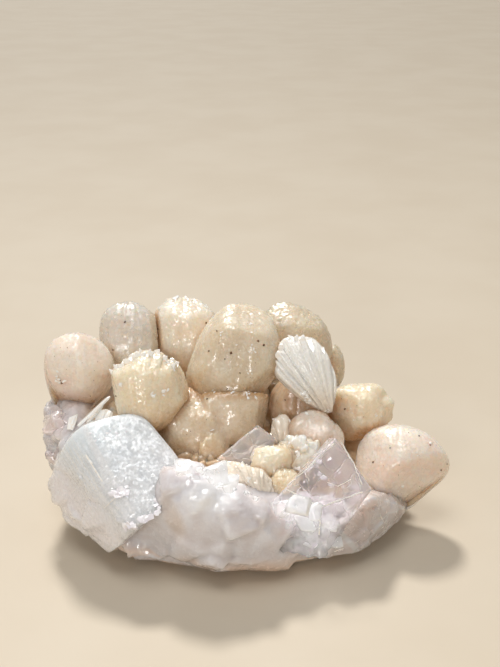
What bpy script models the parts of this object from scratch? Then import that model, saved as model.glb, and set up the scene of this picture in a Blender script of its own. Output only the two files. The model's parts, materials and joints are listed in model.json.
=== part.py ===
"""Stilbite specimen: peach stilbite sheaves grown in a shallow crust of pale, blocky apophyllite.

Metres, +Z up, front of the specimen towards -Y. The origin is the middle of the
footprint's box on the surface that the specimen rests on. Working numbers below are
millimetres; MM turns them into metres when a mesh is made.
"""

import math

import bmesh
import bpy
import numpy as np
from mathutils import Matrix, Vector

MM = 0.001
GAP = 0.3  # clearance between neighbouring crystals
SHIFT = (1.163, 2.686)  # brings the middle of the footprint's box to the origin
LEAN = math.radians(27.0)  # the crystals' broad faces lean back by this much

# The plane that each rounded crystal's outline is drawn in, and the way it faces.
SIDE = np.array([1.0, 0.0, 0.0])
RISE = np.array([0.0, math.sin(LEAN), math.cos(LEAN)])
FACE = np.array([0.0, -math.cos(LEAN), math.sin(LEAN)])

# Rounded stilbite crystals: middle (x, y, z), thickness in front of and behind the outline,
# and the outline's reach every 30 degrees, anticlockwise from the right.
CRYSTALS = {
    "left": ((-43.5, 3, 37.5), 8.5, 8.0, (9.2, 9.2, 9.6, 10.2, 10.6, 9.6, 8.6, 8.8, 10.4, 10.8, 9.2, 9.2)),
    "back_left": ((-32, 16, 41.5), 7.0, 8.0, (8, 8.4, 9.0, 9.4, 9.6, 9.2, 8.2, 8.4, 9.8, 12, 9.4, 8.8)),
    "back_centre": ((-17.5, 17, 41.5), 7.5, 8.5, (9.2, 9.8, 10.2, 10.6, 10.4, 9.8, 8.6, 9.4, 10.4, 13, 9.6, 9)),
    "mid_left": ((-25, -7, 38), 7.5, 8.5, (10, 9.8, 9.2, 9.2, 10.2, 9.8, 8.4, 8.8, 10.6, 10.6, 9.4, 8.8)),
    "tall": ((-3.5, 5, 41), 9.0, 10.0, (11, 12.2, 14.2, 14.2, 12.0, 10.8, 11.4, 14.6, 14.2, 13.2, 13, 11.4)),
    "low_left": ((-15, -5, 26), 9.0, 8.0, (8.8, 8.8, 9.6, 9.8, 10.4, 10.6, 9.2, 8, 8, 9.8, 11, 10.2)),
    "low_right": ((-4, -3, 29), 8.5, 8.0, (8.4, 9, 7.4, 6.8, 7.4, 9, 8.8, 8.4, 8, 7.8, 7.8, 8.2)),
    "low_bump": ((-9.5, -12, 24), 3.5, 4.0, (4.2, 4.6, 4.4, 4.6, 4.8, 4.4, 4.2, 4.2, 4.6, 4.2, 4, 4.2)),
    "back_right": ((13, 22, 38), 6.5, 7.5, (9.8, 8.8, 8.8, 9.8, 11.8, 11.6, 9.4, 8.6, 9.8, 13, 11.2, 11.2)),
    "back_right_side": ((23.5, 24, 29), 3.5, 4.0, (2.8, 3, 4.6, 6.4, 5, 3.6, 3.6, 3.8, 4.4, 6.4, 4.4, 3)),
    "sheaf": ((14, 0, 39.5), 4.0, 5.0, (7.4, 6.8, 7, 8.6, 9.8, 8.6, 8.2, 6.6, 6.4, 8.0, 11.6, 9.4)),
    "sheaf_root": ((12.5, 4, 28.5), 6.0, 8.0, (7.6, 7.2, 6.8, 7, 7.4, 7.8, 8, 8, 8.2, 8.4, 8.2, 8)),
    "right": ((29, 5, 25.5), 7.0, 7.0, (8.6, 8.8, 8, 7, 7.8, 9.6, 8.8, 8.6, 8.8, 7.4, 6.8, 8)),
    "far_right": ((37.5, -8, 16), 8.5, 9.0, (12.8, 12.0, 11.2, 11, 11.4, 11.8, 10.6, 11.2, 13.0, 11.6, 9.6, 10)),
    "knob_pink": ((16.5, -9, 25.5), 5.5, 6.0, (6.8, 6.2, 6, 6.6, 7.4, 7.2, 6.4, 6.2, 6.4, 6.4, 6.6, 7)),
    "sheaf_small": ((8, -8, 26.5), 2.6, 3.5, (2.8, 2.8, 4, 4.4, 4, 3, 2.8, 2.8, 3.6, 4, 4.2, 3.6)),
    "knob_yellow": ((5, -18, 24.5), 4.0, 4.5, (4.8, 4.8, 4, 3.6, 3.8, 4.8, 4.8, 4.8, 4, 3.8, 4, 4.6)),
    "knob_white": ((11.5, -16, 23.5), 4.5, 5.0, (5.4, 5.8, 5.8, 5.6, 5.4, 5.4, 4.8, 5.4, 5.6, 5.4, 5, 4.8)),
    "knob_front": ((8, -23, 21), 3.0, 4.0, (3.2, 3.6, 3.6, 3.2, 3.2, 2.8, 3, 3.4, 4.2, 3.4, 3, 3)),
    "fan_front": ((0, -24, 23), 3.0, 4.5, (5.6, 4, 3.2, 3.4, 4.4, 7.4, 5.4, 3.8, 3.8, 4.2, 5.2, 6.8)),
    "rear": ((-3, 21, 34), 8.0, 7.5, (9.4, 9.8, 9.6, 9.2, 9.8, 10.2, 9.6, 9.2, 10, 11, 10, 9.6)),
}

# Apophyllite blocks: the corners of each crystal.
BLOCKS = {
    "rim_left": [
        (-42.5, -18, 31.5), (-39.2, -17.3, 34.0), (-31.3, -15.2, 35.7), (-28.1, -14.9, 35.8),
        (-24.5, -15.8, 34.8), (-16.1, -23, 27.9), (-16.8, -28.1, 23.4), (-21.3, -33, 19.3),
        (-24.9, -34.8, 17.7), (-27.5, -34.2, 17.6), (-45.5, -17.5, 26.5), (-50.2, -14, 14.6),
        (-44.6, -20.4, 8.3), (-38.6, -25.8, 6.4), (-33.1, -30.8, 6.2), (-46, -7, 24), (-43, -8, 12),
        (-40, -8, 30), (-27, -8, 31), (-19, -19, 18), (-30, -18, 7),
    ],
    "rim_right": [
        (20, -20, 32), (23.2, -21.9, 28.4), (26.4, -24.7, 23.4), (28.6, -25.5, 21.5),
        (18.8, -31.6, 16.3), (9.3, -28.6, 23.3), (5.2, -30.8, 21.6), (5.9, -33.4, 9.5),
        (16.9, -32.8, 6.8), (19, -14.5, 29), (10, -19, 19), (26, -15, 16), (16, -19, 10),
    ],
    "rim_right_low": [
        (29.0, -24.6, 18.6), (19.0, -30.9, 14.6), (17.5, -30.4, 5.2), (26.3, -25.5, 3.8), (33.0, -20.0, 4.2),
        (37.6, -15.3, 5.4), (39.0, -14.3, 8.8), (33.5, -21.0, 11.4), (18, -14, 1.2), (34, -3, 5), (22, -14, 15),
        (39.5, -6, 9), (40.5, -7, 5.5),
    ],
    "rim_far_left": [
        (-52, -2, 30.6), (-52.6, -4, 23.8), (-50.9, -6.5, 14.5), (-47, -7, 28.1), (-46.3, -8, 19.8),
        (-51.1, 3, 30.6), (-50.5, 9, 25), (-44, 5, 31), (-43, 8, 12), (-44, -4, 11),
    ],
    "blade": [
        (-8.3, -20, 26.1), (1.8, -13, 31.7), (6.4, -15.7, 29.2), (3.8, -17.1, 28.1), (0.2, -19, 26.6),
        (-0.5, -20.8, 25), (-6, -14, 21), (3, -10, 23), (2, -17, 20),
    ],
}

# The crust: plan outlines from the flat foot up to the rim, then down into the dish.
# height share of the rim, reach to the left, right, front, back of (CRUST_X, CRUST_Y)
CRUST_X, CRUST_Y = -3.0, -4.0
CRUST_RINGS = [
    (0.00, 27.0, 24.0, 19.0, 20.0),
    (0.05, 34.0, 29.0, 24.5, 24.0),
    (0.15, 40.5, 34.0, 28.0, 27.0),
    (0.33, 45.5, 38.0, 31.0, 29.5),
    (0.58, 47.5, 41.5, 31.8, 31.0),
    (0.80, 47.5, 42.5, 31.3, 31.0),
    (0.94, 45.5, 41.0, 29.5, 29.0),
    (1.04, 40.5, 36.0, 24.0, 25.0),
    (0.90, 32.0, 29.0, 18.0, 19.0),
    (0.78, 18.0, 17.0, 10.0, 11.0),
]
FLOOR = 20.0  # height of the dish's middle
FLOOR_PULL = (0.35, 0.90)  # how strongly the last two outlines are drawn to that height
# rim height, and how far the wall stands in behind the crystals set in it, every 15 degrees,
# anticlockwise from the right (270 degrees is the front)
RIM = (13, 15, 19.5, 25, 29, 30, 30, 31, 31, 31, 31, 31, 30, 28.5, 27, 26, 24.5, 28.5, 24, 20, 18, 16.5, 14, 13)
DENT = (1, 1, 1, 1, 1, 1, 1, 1, 1, 1, 1, 1, 0.99, 0.93, 0.87, 0.86, 0.87, 0.98, 1, 0.95, 0.88, 0.88, 0.92, 0.98)
DENT_SHARES = (0.10, 0.30)  # the wall goes from no dent to its full dent between these shares of the rim
PLAN_POWER = 2.25


def periodic(values, angle):
    """Smooth closed curve through values at even angles (Catmull-Rom)."""
    v = np.asarray(values, float)
    u = (np.asarray(angle) / (2 * math.pi) * len(v)) % len(v)
    i = np.floor(u).astype(int) % len(v)
    f = u - np.floor(u)
    p0, p1, p2, p3 = (v[(i + k) % len(v)] for k in (-1, 0, 1, 2))
    return p1 + 0.5 * f * (p2 - p0 + f * (2 * p0 - 5 * p1 + 4 * p2 - p3 + f * (3 * (p1 - p2) + p3 - p0)))


def ball_grid(n):
    """Unit sphere made of six n by n patches: (points, quads)."""
    steps = np.tan(np.linspace(-math.pi / 4, math.pi / 4, n + 1))
    points, quads, index = [], [], {}
    for axis in range(3):
        for sign in (-1, 1):
            grid = []
            for a in steps:
                row = []
                for b in steps:
                    p = np.zeros(3)
                    p[axis], p[(axis + 1) % 3], p[(axis + 2) % 3] = sign, a, b * sign
                    p /= np.linalg.norm(p)
                    key = tuple(np.round(p, 6))
                    if key not in index:
                        index[key] = len(points)
                        points.append(p)
                    row.append(index[key])
                grid.append(row)
            for i in range(n):
                for j in range(n):
                    quads.append((grid[i][j], grid[i + 1][j], grid[i + 1][j + 1], grid[i][j + 1]))
    return np.array(points), quads


def rounded_crystal(spec, grid, grow=0.0):
    """Outline reach in the leaning plane, swelling to its thickness on both sides."""
    middle, front, back, reach = spec
    x, y, z = grid[:, 0], grid[:, 1], grid[:, 2]
    flat = np.sqrt(x * x + y * y)
    edge = periodic(reach, np.arctan2(y, x)) + grow
    power = 2.3
    full = (flat**power + np.abs(z) ** power) ** (-1 / power)
    lean = np.where(flat < 1e-6, 0.0, full * edge)
    deep = full * (np.where(z > 0, front, back) + grow)
    offset = np.outer(lean * x, SIDE) + np.outer(lean * y, RISE) + np.outer(z * deep, FACE)
    return np.array(middle) + offset


def finish(name, bm, material):
    bmesh.ops.transform(bm, matrix=placing, verts=bm.verts)
    bmesh.ops.recalc_face_normals(bm, faces=bm.faces)
    mesh = bpy.data.meshes.new(name)
    bm.to_mesh(mesh)
    bm.free()
    obj = bpy.data.objects.new(name, mesh)
    bpy.context.scene.collection.objects.link(obj)
    mesh.materials.append(material)
    mesh.shade_smooth()
    mesh.set_sharp_from_angle(angle=math.radians(38))
    return obj


def make_rounded(name, key, n, material, grow=0.0):
    points, quads = ball_grid(n)
    bm = bmesh.new()
    verts = [bm.verts.new(p) for p in rounded_crystal(CRYSTALS[key], points, grow)]
    for quad in quads:
        bm.faces.new([verts[i] for i in quad])
    bmesh.ops.triangulate(bm, faces=bm.faces, quad_method="FIXED")
    return finish(name, bm, material)


def make_block(name, key, material, grow=0.0, bevel=0.7):
    bm = bmesh.new()
    corners = [Vector(p) for p in BLOCKS[key]]
    middle = sum(corners, Vector()) / len(corners)
    for p in corners:
        way = p - middle
        bm.verts.new(p + way.normalized() * grow * 1.6)
    hull = bmesh.ops.convex_hull(bm, input=bm.verts)
    loose = [v for v in bm.verts if not v.link_faces]
    bmesh.ops.delete(bm, geom=loose, context="VERTS")
    bmesh.ops.dissolve_limit(bm, angle_limit=math.radians(4), verts=bm.verts, edges=bm.edges)
    if bevel:
        bmesh.ops.bevel(bm, geom=list(bm.edges), offset=bevel, segments=1, affect="EDGES", clamp_overlap=True)
    bmesh.ops.triangulate(bm, faces=bm.faces)
    return finish(name, bm, material)


def crust_points(around):
    """Rows of points, one per plan outline."""
    angle = np.linspace(0, 2 * math.pi, around, endpoint=False)
    c, s = np.cos(angle), np.sin(angle)
    swell = (np.abs(c) ** PLAN_POWER + np.abs(s) ** PLAN_POWER) ** (-1 / PLAN_POWER)
    rim, dent = periodic(RIM, angle), periodic(DENT, angle)
    rows = []
    for share, left, right, front, back in CRUST_RINGS:
        depth = np.interp(share, DENT_SHARES, (0.0, 1.0))
        reach = swell * (1 - (1 - dent) * depth)
        x = CRUST_X + np.where(c > 0, right, left) * c * reach
        y = CRUST_Y + np.where(s > 0, back, front) * s * reach
        rows.append(np.stack([x, y, share * rim], 1))
    for row, pull in zip(rows[-2:], FLOOR_PULL):
        row[:, 2] += pull * (FLOOR - row[:, 2])
    return rows


def make_crust(name, material, around=32):
    bm = bmesh.new()
    rows = [[bm.verts.new(p) for p in row] for row in crust_points(around)]
    for low, high in zip(rows, rows[1:]):
        for i in range(around):
            j = (i + 1) % around
            bm.faces.new((low[i], low[j], high[j], high[i]))
    foot = bm.faces.new(list(reversed(rows[0])))
    middle = bm.verts.new((CRUST_X, CRUST_Y, FLOOR))
    for i in range(around):
        bm.faces.new((rows[-1][i], rows[-1][(i + 1) % around], middle))
    bmesh.ops.triangulate(bm, faces=[f for f in bm.faces if f is not foot])
    return finish(name, bm, material)


def material(name, colour, roughness, transmission=0.0):
    made = bpy.data.materials.new(name)
    made.use_nodes = True
    shader = made.node_tree.nodes["Principled BSDF"]
    shader.inputs["Base Color"].default_value = (*colour, 1.0)
    shader.inputs["Roughness"].default_value = roughness
    shader.inputs["Metallic"].default_value = 0.0
    shader.inputs["IOR"].default_value = 1.5
    shader.inputs["Transmission Weight"].default_value = transmission
    made.diffuse_color = (*colour, 1.0)
    return made


def combine(obj, others, operation):
    """Joins or cuts, then keeps the result as the object's own mesh."""
    for other in others:
        modifier = obj.modifiers.new("with_" + other.name, "BOOLEAN")
        modifier.operation = operation
        modifier.solver = "EXACT"
        modifier.object = other
    bpy.context.view_layer.update()
    made = bpy.data.meshes.new_from_object(obj.evaluated_get(bpy.context.evaluated_depsgraph_get()))
    obj.modifiers.clear()
    old, obj.data = obj.data, made
    bpy.data.meshes.remove(old)
    made.name = obj.name


def bounds(obj):
    points = np.array([v.co for v in obj.data.vertices])
    return points.min(0), points.max(0)


def near(a, b):
    (alow, ahigh), (blow, bhigh) = bounds(a), bounds(b)
    return bool(np.all(alow < bhigh) and np.all(blow < ahigh))


def keep_largest(obj):
    """Drops chips that a cut has split off."""
    bm = bmesh.new()
    bm.from_mesh(obj.data)
    bmesh.ops.remove_doubles(bm, verts=bm.verts, dist=0.00002)
    bmesh.ops.dissolve_degenerate(bm, dist=0.00002, edges=bm.edges)
    left, islands = set(bm.verts), []
    while left:
        stack, island = [left.pop()], []
        while stack:
            v = stack.pop()
            island.append(v)
            for e in v.link_edges:
                w = e.other_vert(v)
                if w in left:
                    left.remove(w)
                    stack.append(w)
        islands.append(island)
    islands.sort(key=len, reverse=True)
    for island in islands[1:]:
        bmesh.ops.delete(bm, geom=island, context="VERTS")
    bmesh.ops.triangulate(bm, faces=[f for f in bm.faces if len(f.verts) > 4 and f.calc_area() < 1e-4])
    bm.to_mesh(obj.data)
    bm.free()
    obj.data.shade_smooth()
    obj.data.set_sharp_from_angle(angle=math.radians(38))


for old in list(bpy.data.objects):
    bpy.data.objects.remove(old)


placing = Matrix.Scale(MM, 4) @ Matrix.Translation((SHIFT[0], SHIFT[1], 0.0))

peach = material("stilbite_peach", (0.80, 0.66, 0.50), 0.38)
cream = material("stilbite_cream", (0.84, 0.72, 0.56), 0.36)
beige = material("stilbite_beige", (0.66, 0.53, 0.38), 0.40)
pearl = material("stilbite_pearl", (0.88, 0.82, 0.72), 0.30)
milky = material("apophyllite_milky", (0.78, 0.80, 0.80), 0.35)
clear = material("apophyllite_clear", (0.72, 0.66, 0.65), 0.15, 0.6)

# name: (rounded parts joined in it, patches along each side, material), nearest the front first,
# because a crystal in front keeps its shape and the one behind is cut to meet it
ROUNDED = {
    "stilbite_front_cluster": (("knob_white", "knob_yellow", "knob_front", "fan_front", "knob_pink", "sheaf_small"), 3, cream),
    "stilbite_mid_left": (("mid_left",), 5, cream),
    "stilbite_sheaf": (("sheaf", "sheaf_root"), 4, pearl),
    "stilbite_far_right": (("far_right",), 5, peach),
    "stilbite_low_centre": (("low_left", "low_right", "low_bump"), 5, beige),
    "stilbite_tall_centre": (("tall",), 6, beige),
    "stilbite_right": (("right",), 5, peach),
    "stilbite_left": (("left",), 5, peach),
    "stilbite_back_left": (("back_left",), 5, beige),
    "stilbite_back_centre": (("back_centre",), 5, cream),
    "stilbite_back_right": (("back_right", "back_right_side"), 5, beige),
    "stilbite_rear": (("rear",), 5, peach),
}
ROUGH_BLOCKS = {"apophyllite_rim_left": "rim_left", "apophyllite_rim_right": "rim_right", "apophyllite_blade": "blade"}

solids, cutters = [], []
for node, key in ROUGH_BLOCKS.items():
    block = make_block(node, key, milky if key == "rim_left" else clear)
    cutter = make_block(node + "_cutter", key, clear, grow=GAP, bevel=0.4)
    solids.append(block)
    cutters.append(cutter)
for node, (keys, n, look) in ROUNDED.items():
    pieces = [make_rounded(node if i == 0 else key, key, n, look) for i, key in enumerate(keys)]
    grown = [make_rounded(key + "_cutter", key, n, look, grow=GAP) for key in keys]
    for group in (pieces, grown):
        if len(group) > 1:
            combine(group[0], group[1:], "UNION")
        for extra in group[1:]:
            bpy.data.objects.remove(extra)
    solids.append(pieces[0])
    cutters.append(grown[0])

crust = make_crust("apophyllite_crust", milky)
shelves = [make_block(key, key, milky) for key in ("rim_right_low", "rim_far_left")]
combine(crust, shelves, "UNION")
for extra in shelves:
    bpy.data.objects.remove(extra)
solids.append(crust)

for i, solid in enumerate(solids):
    neighbours = [c for c in cutters[:i] if near(solid, c)]
    if neighbours:
        combine(solid, neighbours, "DIFFERENCE")
    keep_largest(solid)
for cutter in cutters:
    bpy.data.objects.remove(cutter)
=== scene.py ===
"""Looks of the stilbite specimen: peach stilbite sheaves in a crust of pale apophyllite.

Shapes are worked out in millimetres, in the same layout as the solids, and placed by SHIFT.
"""

import json
import math

import bmesh
import bpy
import numpy as np
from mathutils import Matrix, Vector
from mathutils.bvhtree import BVHTree

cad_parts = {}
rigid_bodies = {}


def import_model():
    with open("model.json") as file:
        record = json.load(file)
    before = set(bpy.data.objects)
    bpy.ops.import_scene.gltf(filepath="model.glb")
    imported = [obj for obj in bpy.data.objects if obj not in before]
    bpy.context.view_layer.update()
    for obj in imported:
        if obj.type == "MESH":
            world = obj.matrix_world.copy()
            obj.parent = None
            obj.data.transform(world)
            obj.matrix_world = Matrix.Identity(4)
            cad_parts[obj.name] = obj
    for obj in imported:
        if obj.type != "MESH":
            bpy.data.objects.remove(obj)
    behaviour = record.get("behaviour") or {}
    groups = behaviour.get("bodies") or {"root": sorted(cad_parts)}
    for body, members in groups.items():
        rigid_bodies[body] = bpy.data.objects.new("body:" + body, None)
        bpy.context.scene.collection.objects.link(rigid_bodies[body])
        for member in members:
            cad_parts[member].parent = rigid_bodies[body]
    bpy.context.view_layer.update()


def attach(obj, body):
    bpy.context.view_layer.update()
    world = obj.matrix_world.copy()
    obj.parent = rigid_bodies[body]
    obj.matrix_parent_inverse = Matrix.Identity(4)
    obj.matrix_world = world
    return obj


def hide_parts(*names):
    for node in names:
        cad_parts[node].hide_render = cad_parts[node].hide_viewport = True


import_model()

SHIFT = np.array([1.163, 2.686, 0.0])
LEAN = math.radians(27.0)
SIDE = np.array([1.0, 0.0, 0.0])
RISE = np.array([0.0, math.sin(LEAN), math.cos(LEAN)])
FACE = np.array([0.0, -math.cos(LEAN), math.sin(LEAN)])
AXES = np.stack([SIDE, RISE, FACE])

# middle, front thickness, back thickness, reach every 30 degrees anticlockwise from the right
CRYSTALS = {
    "left": ((-43.5, 3, 37.5), 8.5, 8.0, (9.2, 9.2, 9.6, 10.2, 10.6, 9.6, 8.6, 8.8, 10.4, 10.8, 9.2, 9.2)),
    "back_left": ((-32, 16, 41.5), 7.0, 8.0, (8, 8.4, 9.0, 9.4, 9.6, 9.2, 8.2, 8.4, 9.8, 12, 9.4, 8.8)),
    "back_centre": ((-17.5, 17, 41.5), 7.5, 8.5, (9.2, 9.8, 10.2, 10.6, 10.4, 9.8, 8.6, 9.4, 10.4, 13, 9.6, 9)),
    "mid_left": ((-25, -7, 38), 7.5, 8.5, (10, 9.8, 9.2, 9.2, 10.2, 9.8, 8.4, 8.8, 10.6, 10.6, 9.4, 8.8)),
    "tall": ((-3.5, 5, 41), 9.0, 10.0, (11, 12.2, 14.2, 14.2, 12.0, 10.8, 11.4, 14.6, 14.2, 13.2, 13, 11.4)),
    "low_left": ((-15, -5, 26), 9.0, 8.0, (8.8, 8.8, 9.6, 9.8, 10.4, 10.6, 9.2, 8, 8, 9.8, 11, 10.2)),
    "low_right": ((-4, -3, 29), 8.5, 8.0, (8.4, 9, 7.4, 6.8, 7.4, 9, 8.8, 8.4, 8, 7.8, 7.8, 8.2)),
    "low_bump": ((-9.5, -12, 24), 3.5, 4.0, (4.2, 4.6, 4.4, 4.6, 4.8, 4.4, 4.2, 4.2, 4.6, 4.2, 4, 4.2)),
    "back_right": ((13, 22, 38), 6.5, 7.5, (9.8, 8.8, 8.8, 9.8, 11.8, 11.6, 9.4, 8.6, 9.8, 13, 11.2, 11.2)),
    "back_right_side": ((23.5, 24, 29), 3.5, 4.0, (2.8, 3, 4.6, 6.4, 5, 3.6, 3.6, 3.8, 4.4, 6.4, 4.4, 3)),
    "sheaf": ((14, 0, 39.5), 4.0, 5.0, (7.4, 6.8, 7, 8.6, 9.8, 8.6, 8.2, 6.6, 6.4, 8.0, 11.6, 9.4)),
    "sheaf_root": ((12.5, 4, 28.5), 6.0, 8.0, (7.6, 7.2, 6.8, 7, 7.4, 7.8, 8, 8, 8.2, 8.4, 8.2, 8)),
    "right": ((29, 5, 25.5), 7.0, 7.0, (8.6, 8.8, 8, 7, 7.8, 9.6, 8.8, 8.6, 8.8, 7.4, 6.8, 8)),
    "far_right": ((37.5, -8, 16), 8.5, 9.0, (12.8, 12.0, 11.2, 11, 11.4, 11.8, 10.6, 11.2, 13.0, 11.6, 9.6, 10)),
    "knob_pink": ((16.5, -9, 25.5), 5.5, 6.0, (6.8, 6.2, 6, 6.6, 7.4, 7.2, 6.4, 6.2, 6.4, 6.4, 6.6, 7)),
    "sheaf_small": ((8, -8, 26.5), 2.6, 3.5, (2.8, 2.8, 4, 4.4, 4, 3, 2.8, 2.8, 3.6, 4, 4.2, 3.6)),
    "knob_yellow": ((5, -18, 24.5), 4.0, 4.5, (4.8, 4.8, 4, 3.6, 3.8, 4.8, 4.8, 4.8, 4, 3.8, 4, 4.6)),
    "knob_white": ((11.5, -16, 23.5), 4.5, 5.0, (5.4, 5.8, 5.8, 5.6, 5.4, 5.4, 4.8, 5.4, 5.6, 5.4, 5, 4.8)),
    "knob_front": ((8, -23, 21), 3.0, 4.0, (3.2, 3.6, 3.6, 3.2, 3.2, 2.8, 3, 3.4, 4.2, 3.4, 3, 3)),
    "fan_front": ((0, -24, 23), 3.0, 4.5, (5.6, 4, 3.2, 3.4, 4.4, 7.4, 5.4, 3.8, 3.8, 4.2, 5.2, 6.8)),
    "rear": ((-3, 21, 34), 8.0, 7.5, (9.4, 9.8, 9.6, 9.2, 9.8, 10.2, 9.6, 9.2, 10, 11, 10, 9.6)),
}

BLOCKS = {
    "rim_left": [
        (-42.5, -18, 31.5), (-39.2, -17.3, 34.0), (-31.3, -15.2, 35.7), (-28.1, -14.9, 35.8),
        (-24.5, -15.8, 34.8), (-16.1, -23, 27.9), (-16.8, -28.1, 23.4), (-21.3, -33, 19.3),
        (-24.9, -34.8, 17.7), (-27.5, -34.2, 17.6), (-45.5, -17.5, 26.5), (-50.2, -14, 14.6),
        (-44.6, -20.4, 8.3), (-38.6, -25.8, 6.4), (-33.1, -30.8, 6.2), (-46, -7, 24), (-43, -8, 12),
        (-40, -8, 30), (-27, -8, 31), (-19, -19, 18), (-30, -18, 7),
    ],
    "rim_right": [
        (20, -20, 32), (23.2, -21.9, 28.4), (26.4, -24.7, 23.4), (28.6, -25.5, 21.5),
        (18.8, -31.6, 16.3), (9.3, -28.6, 23.3), (5.2, -30.8, 21.6), (5.9, -33.4, 9.5),
        (16.9, -32.8, 6.8), (19, -14.5, 29), (10, -19, 19), (26, -15, 16), (16, -19, 10),
    ],
    "rim_right_low": [
        (29.0, -24.6, 18.6), (19.0, -30.9, 14.6), (17.5, -30.4, 5.2), (26.3, -25.5, 3.8), (33.0, -20.0, 4.2),
        (37.6, -15.3, 5.4), (39.0, -14.3, 8.8), (33.5, -21.0, 11.4), (18, -14, 1.2), (34, -3, 5), (22, -14, 15),
        (39.5, -6, 9), (40.5, -7, 5.5),
    ],
    "rim_far_left": [
        (-52, -2, 30.6), (-52.6, -4, 23.8), (-50.9, -6.5, 14.5), (-47, -7, 28.1), (-46.3, -8, 19.8),
        (-51.1, 3, 30.6), (-50.5, 9, 25), (-44, 5, 31), (-43, 8, 12), (-44, -4, 11),
    ],
    "blade": [
        (-8.3, -20, 26.1), (1.8, -13, 31.7), (6.4, -15.7, 29.2), (3.8, -17.1, 28.1), (0.2, -19, 26.6),
        (-0.5, -20.8, 25), (-6, -14, 21), (3, -10, 23), (2, -17, 20),
    ],
}

CRUST_X, CRUST_Y = -3.0, -4.0
CRUST_RINGS = [
    (0.00, 27.0, 24.0, 19.0, 20.0),
    (0.05, 34.0, 29.0, 24.5, 24.0),
    (0.15, 40.5, 34.0, 28.0, 27.0),
    (0.33, 45.5, 38.0, 31.0, 29.5),
    (0.58, 47.5, 41.5, 31.8, 31.0),
    (0.80, 47.5, 42.5, 31.3, 31.0),
    (0.94, 45.5, 41.0, 29.5, 29.0),
    (1.04, 40.5, 36.0, 24.0, 25.0),
    (0.90, 32.0, 29.0, 18.0, 19.0),
    (0.78, 18.0, 17.0, 10.0, 11.0),
]
FLOOR = 20.0
FLOOR_PULL = (0.35, 0.90)
RIM = (13, 15, 19.5, 25, 29, 30, 30, 31, 31, 31, 31, 31, 30, 28.5, 27, 26, 24.5, 28.5, 24, 20, 18, 16.5, 14, 13)
DENT = (1, 1, 1, 1, 1, 1, 1, 1, 1, 1, 1, 1, 0.99, 0.93, 0.87, 0.86, 0.87, 0.98, 1, 0.95, 0.88, 0.88, 0.92, 0.98)
DENT_SHARES = (0.10, 0.30)
PLAN_POWER = 2.25


# ---------------------------------------------------------------- numbers and noise


def smooth(low, high, x):
    t = np.clip((np.asarray(x, float) - low) / (high - low), 0.0, 1.0)
    return t * t * (3 - 2 * t)


def periodic(values, angle):
    v = np.asarray(values, float)
    u = (np.asarray(angle) / (2 * math.pi) * len(v)) % len(v)
    i = np.floor(u).astype(int) % len(v)
    f = u - np.floor(u)
    p0, p1, p2, p3 = (v[(i + k) % len(v)] for k in (-1, 0, 1, 2))
    return p1 + 0.5 * f * (p2 - p0 + f * (2 * p0 - 5 * p1 + 4 * p2 - p3 + f * (3 * (p1 - p2) + p3 - p0)))


def code_of(i, seed):
    u = i.astype(np.uint64)
    h = u[:, 0] * np.uint64(73856093) ^ u[:, 1] * np.uint64(19349663) ^ u[:, 2] * np.uint64(83492791)
    h = (h ^ np.uint64(seed * 97531 + 12345)) & np.uint64(0xFFFFFFFF)
    h = (h ^ (h >> np.uint64(13))) * np.uint64(1274126177) & np.uint64(0xFFFFFFFF)
    return h ^ (h >> np.uint64(16))


def share(code, salt):
    x = (code * np.uint64(2654435761) + np.uint64(salt * 40503 + 7)) & np.uint64(0xFFFFFFFF)
    x = (x ^ (x >> np.uint64(15))) * np.uint64(2246822519) & np.uint64(0xFFFFFFFF)
    x = x ^ (x >> np.uint64(13))
    return x.astype(float) / 4294967295.0


def noise(points, size, seed=0):
    q = points / size
    i = np.floor(q).astype(np.int64)
    f = q - i
    f = f * f * (3 - 2 * f)
    total = np.zeros(len(points))
    for corner in range(8):
        o = np.array([corner & 1, corner >> 1 & 1, corner >> 2 & 1])
        weight = np.prod(np.where(o, f, 1 - f), axis=1)
        total += weight * share(code_of(i + o, seed), 0)
    return total * 2 - 1


def fbm(points, size, seed=0, octaves=3, fall=0.5):
    total, gain, reach = np.zeros(len(points)), 1.0, 0.0
    for k in range(octaves):
        total += gain * noise(points, size / 2**k, seed + k * 17)
        reach += gain
        gain *= fall
    return total / reach


def cells(points, size, seed=0):
    """Nearest and second distance, and the nearest cell's middle and code."""
    q = points / size
    i = np.floor(q).astype(np.int64)
    near = np.full(len(points), 9.0)
    second = np.full(len(points), 9.0)
    middle = np.zeros_like(q)
    code = np.zeros(len(points), np.uint64)
    for dx in (-1, 0, 1):
        for dy in (-1, 0, 1):
            for dz in (-1, 0, 1):
                cell = i + np.array([dx, dy, dz])
                h = code_of(cell, seed)
                c = cell + np.stack([share(h, 1), share(h, 2), share(h, 3)], 1)
                d = np.sqrt(((q - c) ** 2).sum(1))
                closer = d < near
                second = np.where(closer, near, np.minimum(second, d))
                near = np.where(closer, d, near)
                middle[closer] = c[closer]
                code[closer] = h[closer]
    return near * size, second * size, middle * size, code


def facets(points, size, seed=0, slope=0.35, step=0.2, groove=0.15):
    """Broken or grown faces: each cell is a tilted plane with its own height."""
    near, second, middle, code = cells(points, size, seed)
    tilt = np.stack([share(code, 4), share(code, 5), share(code, 6)], 1) * 2 - 1
    height = ((points - middle) * tilt).sum(1) * slope + (share(code, 7) - 0.5) * step * size
    edge = smooth(0.0, 0.14 * size, second - near)
    return height * edge - groove * size * (1 - edge) * 0.5


# ---------------------------------------------------------------- meshes

_balls = {}


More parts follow.
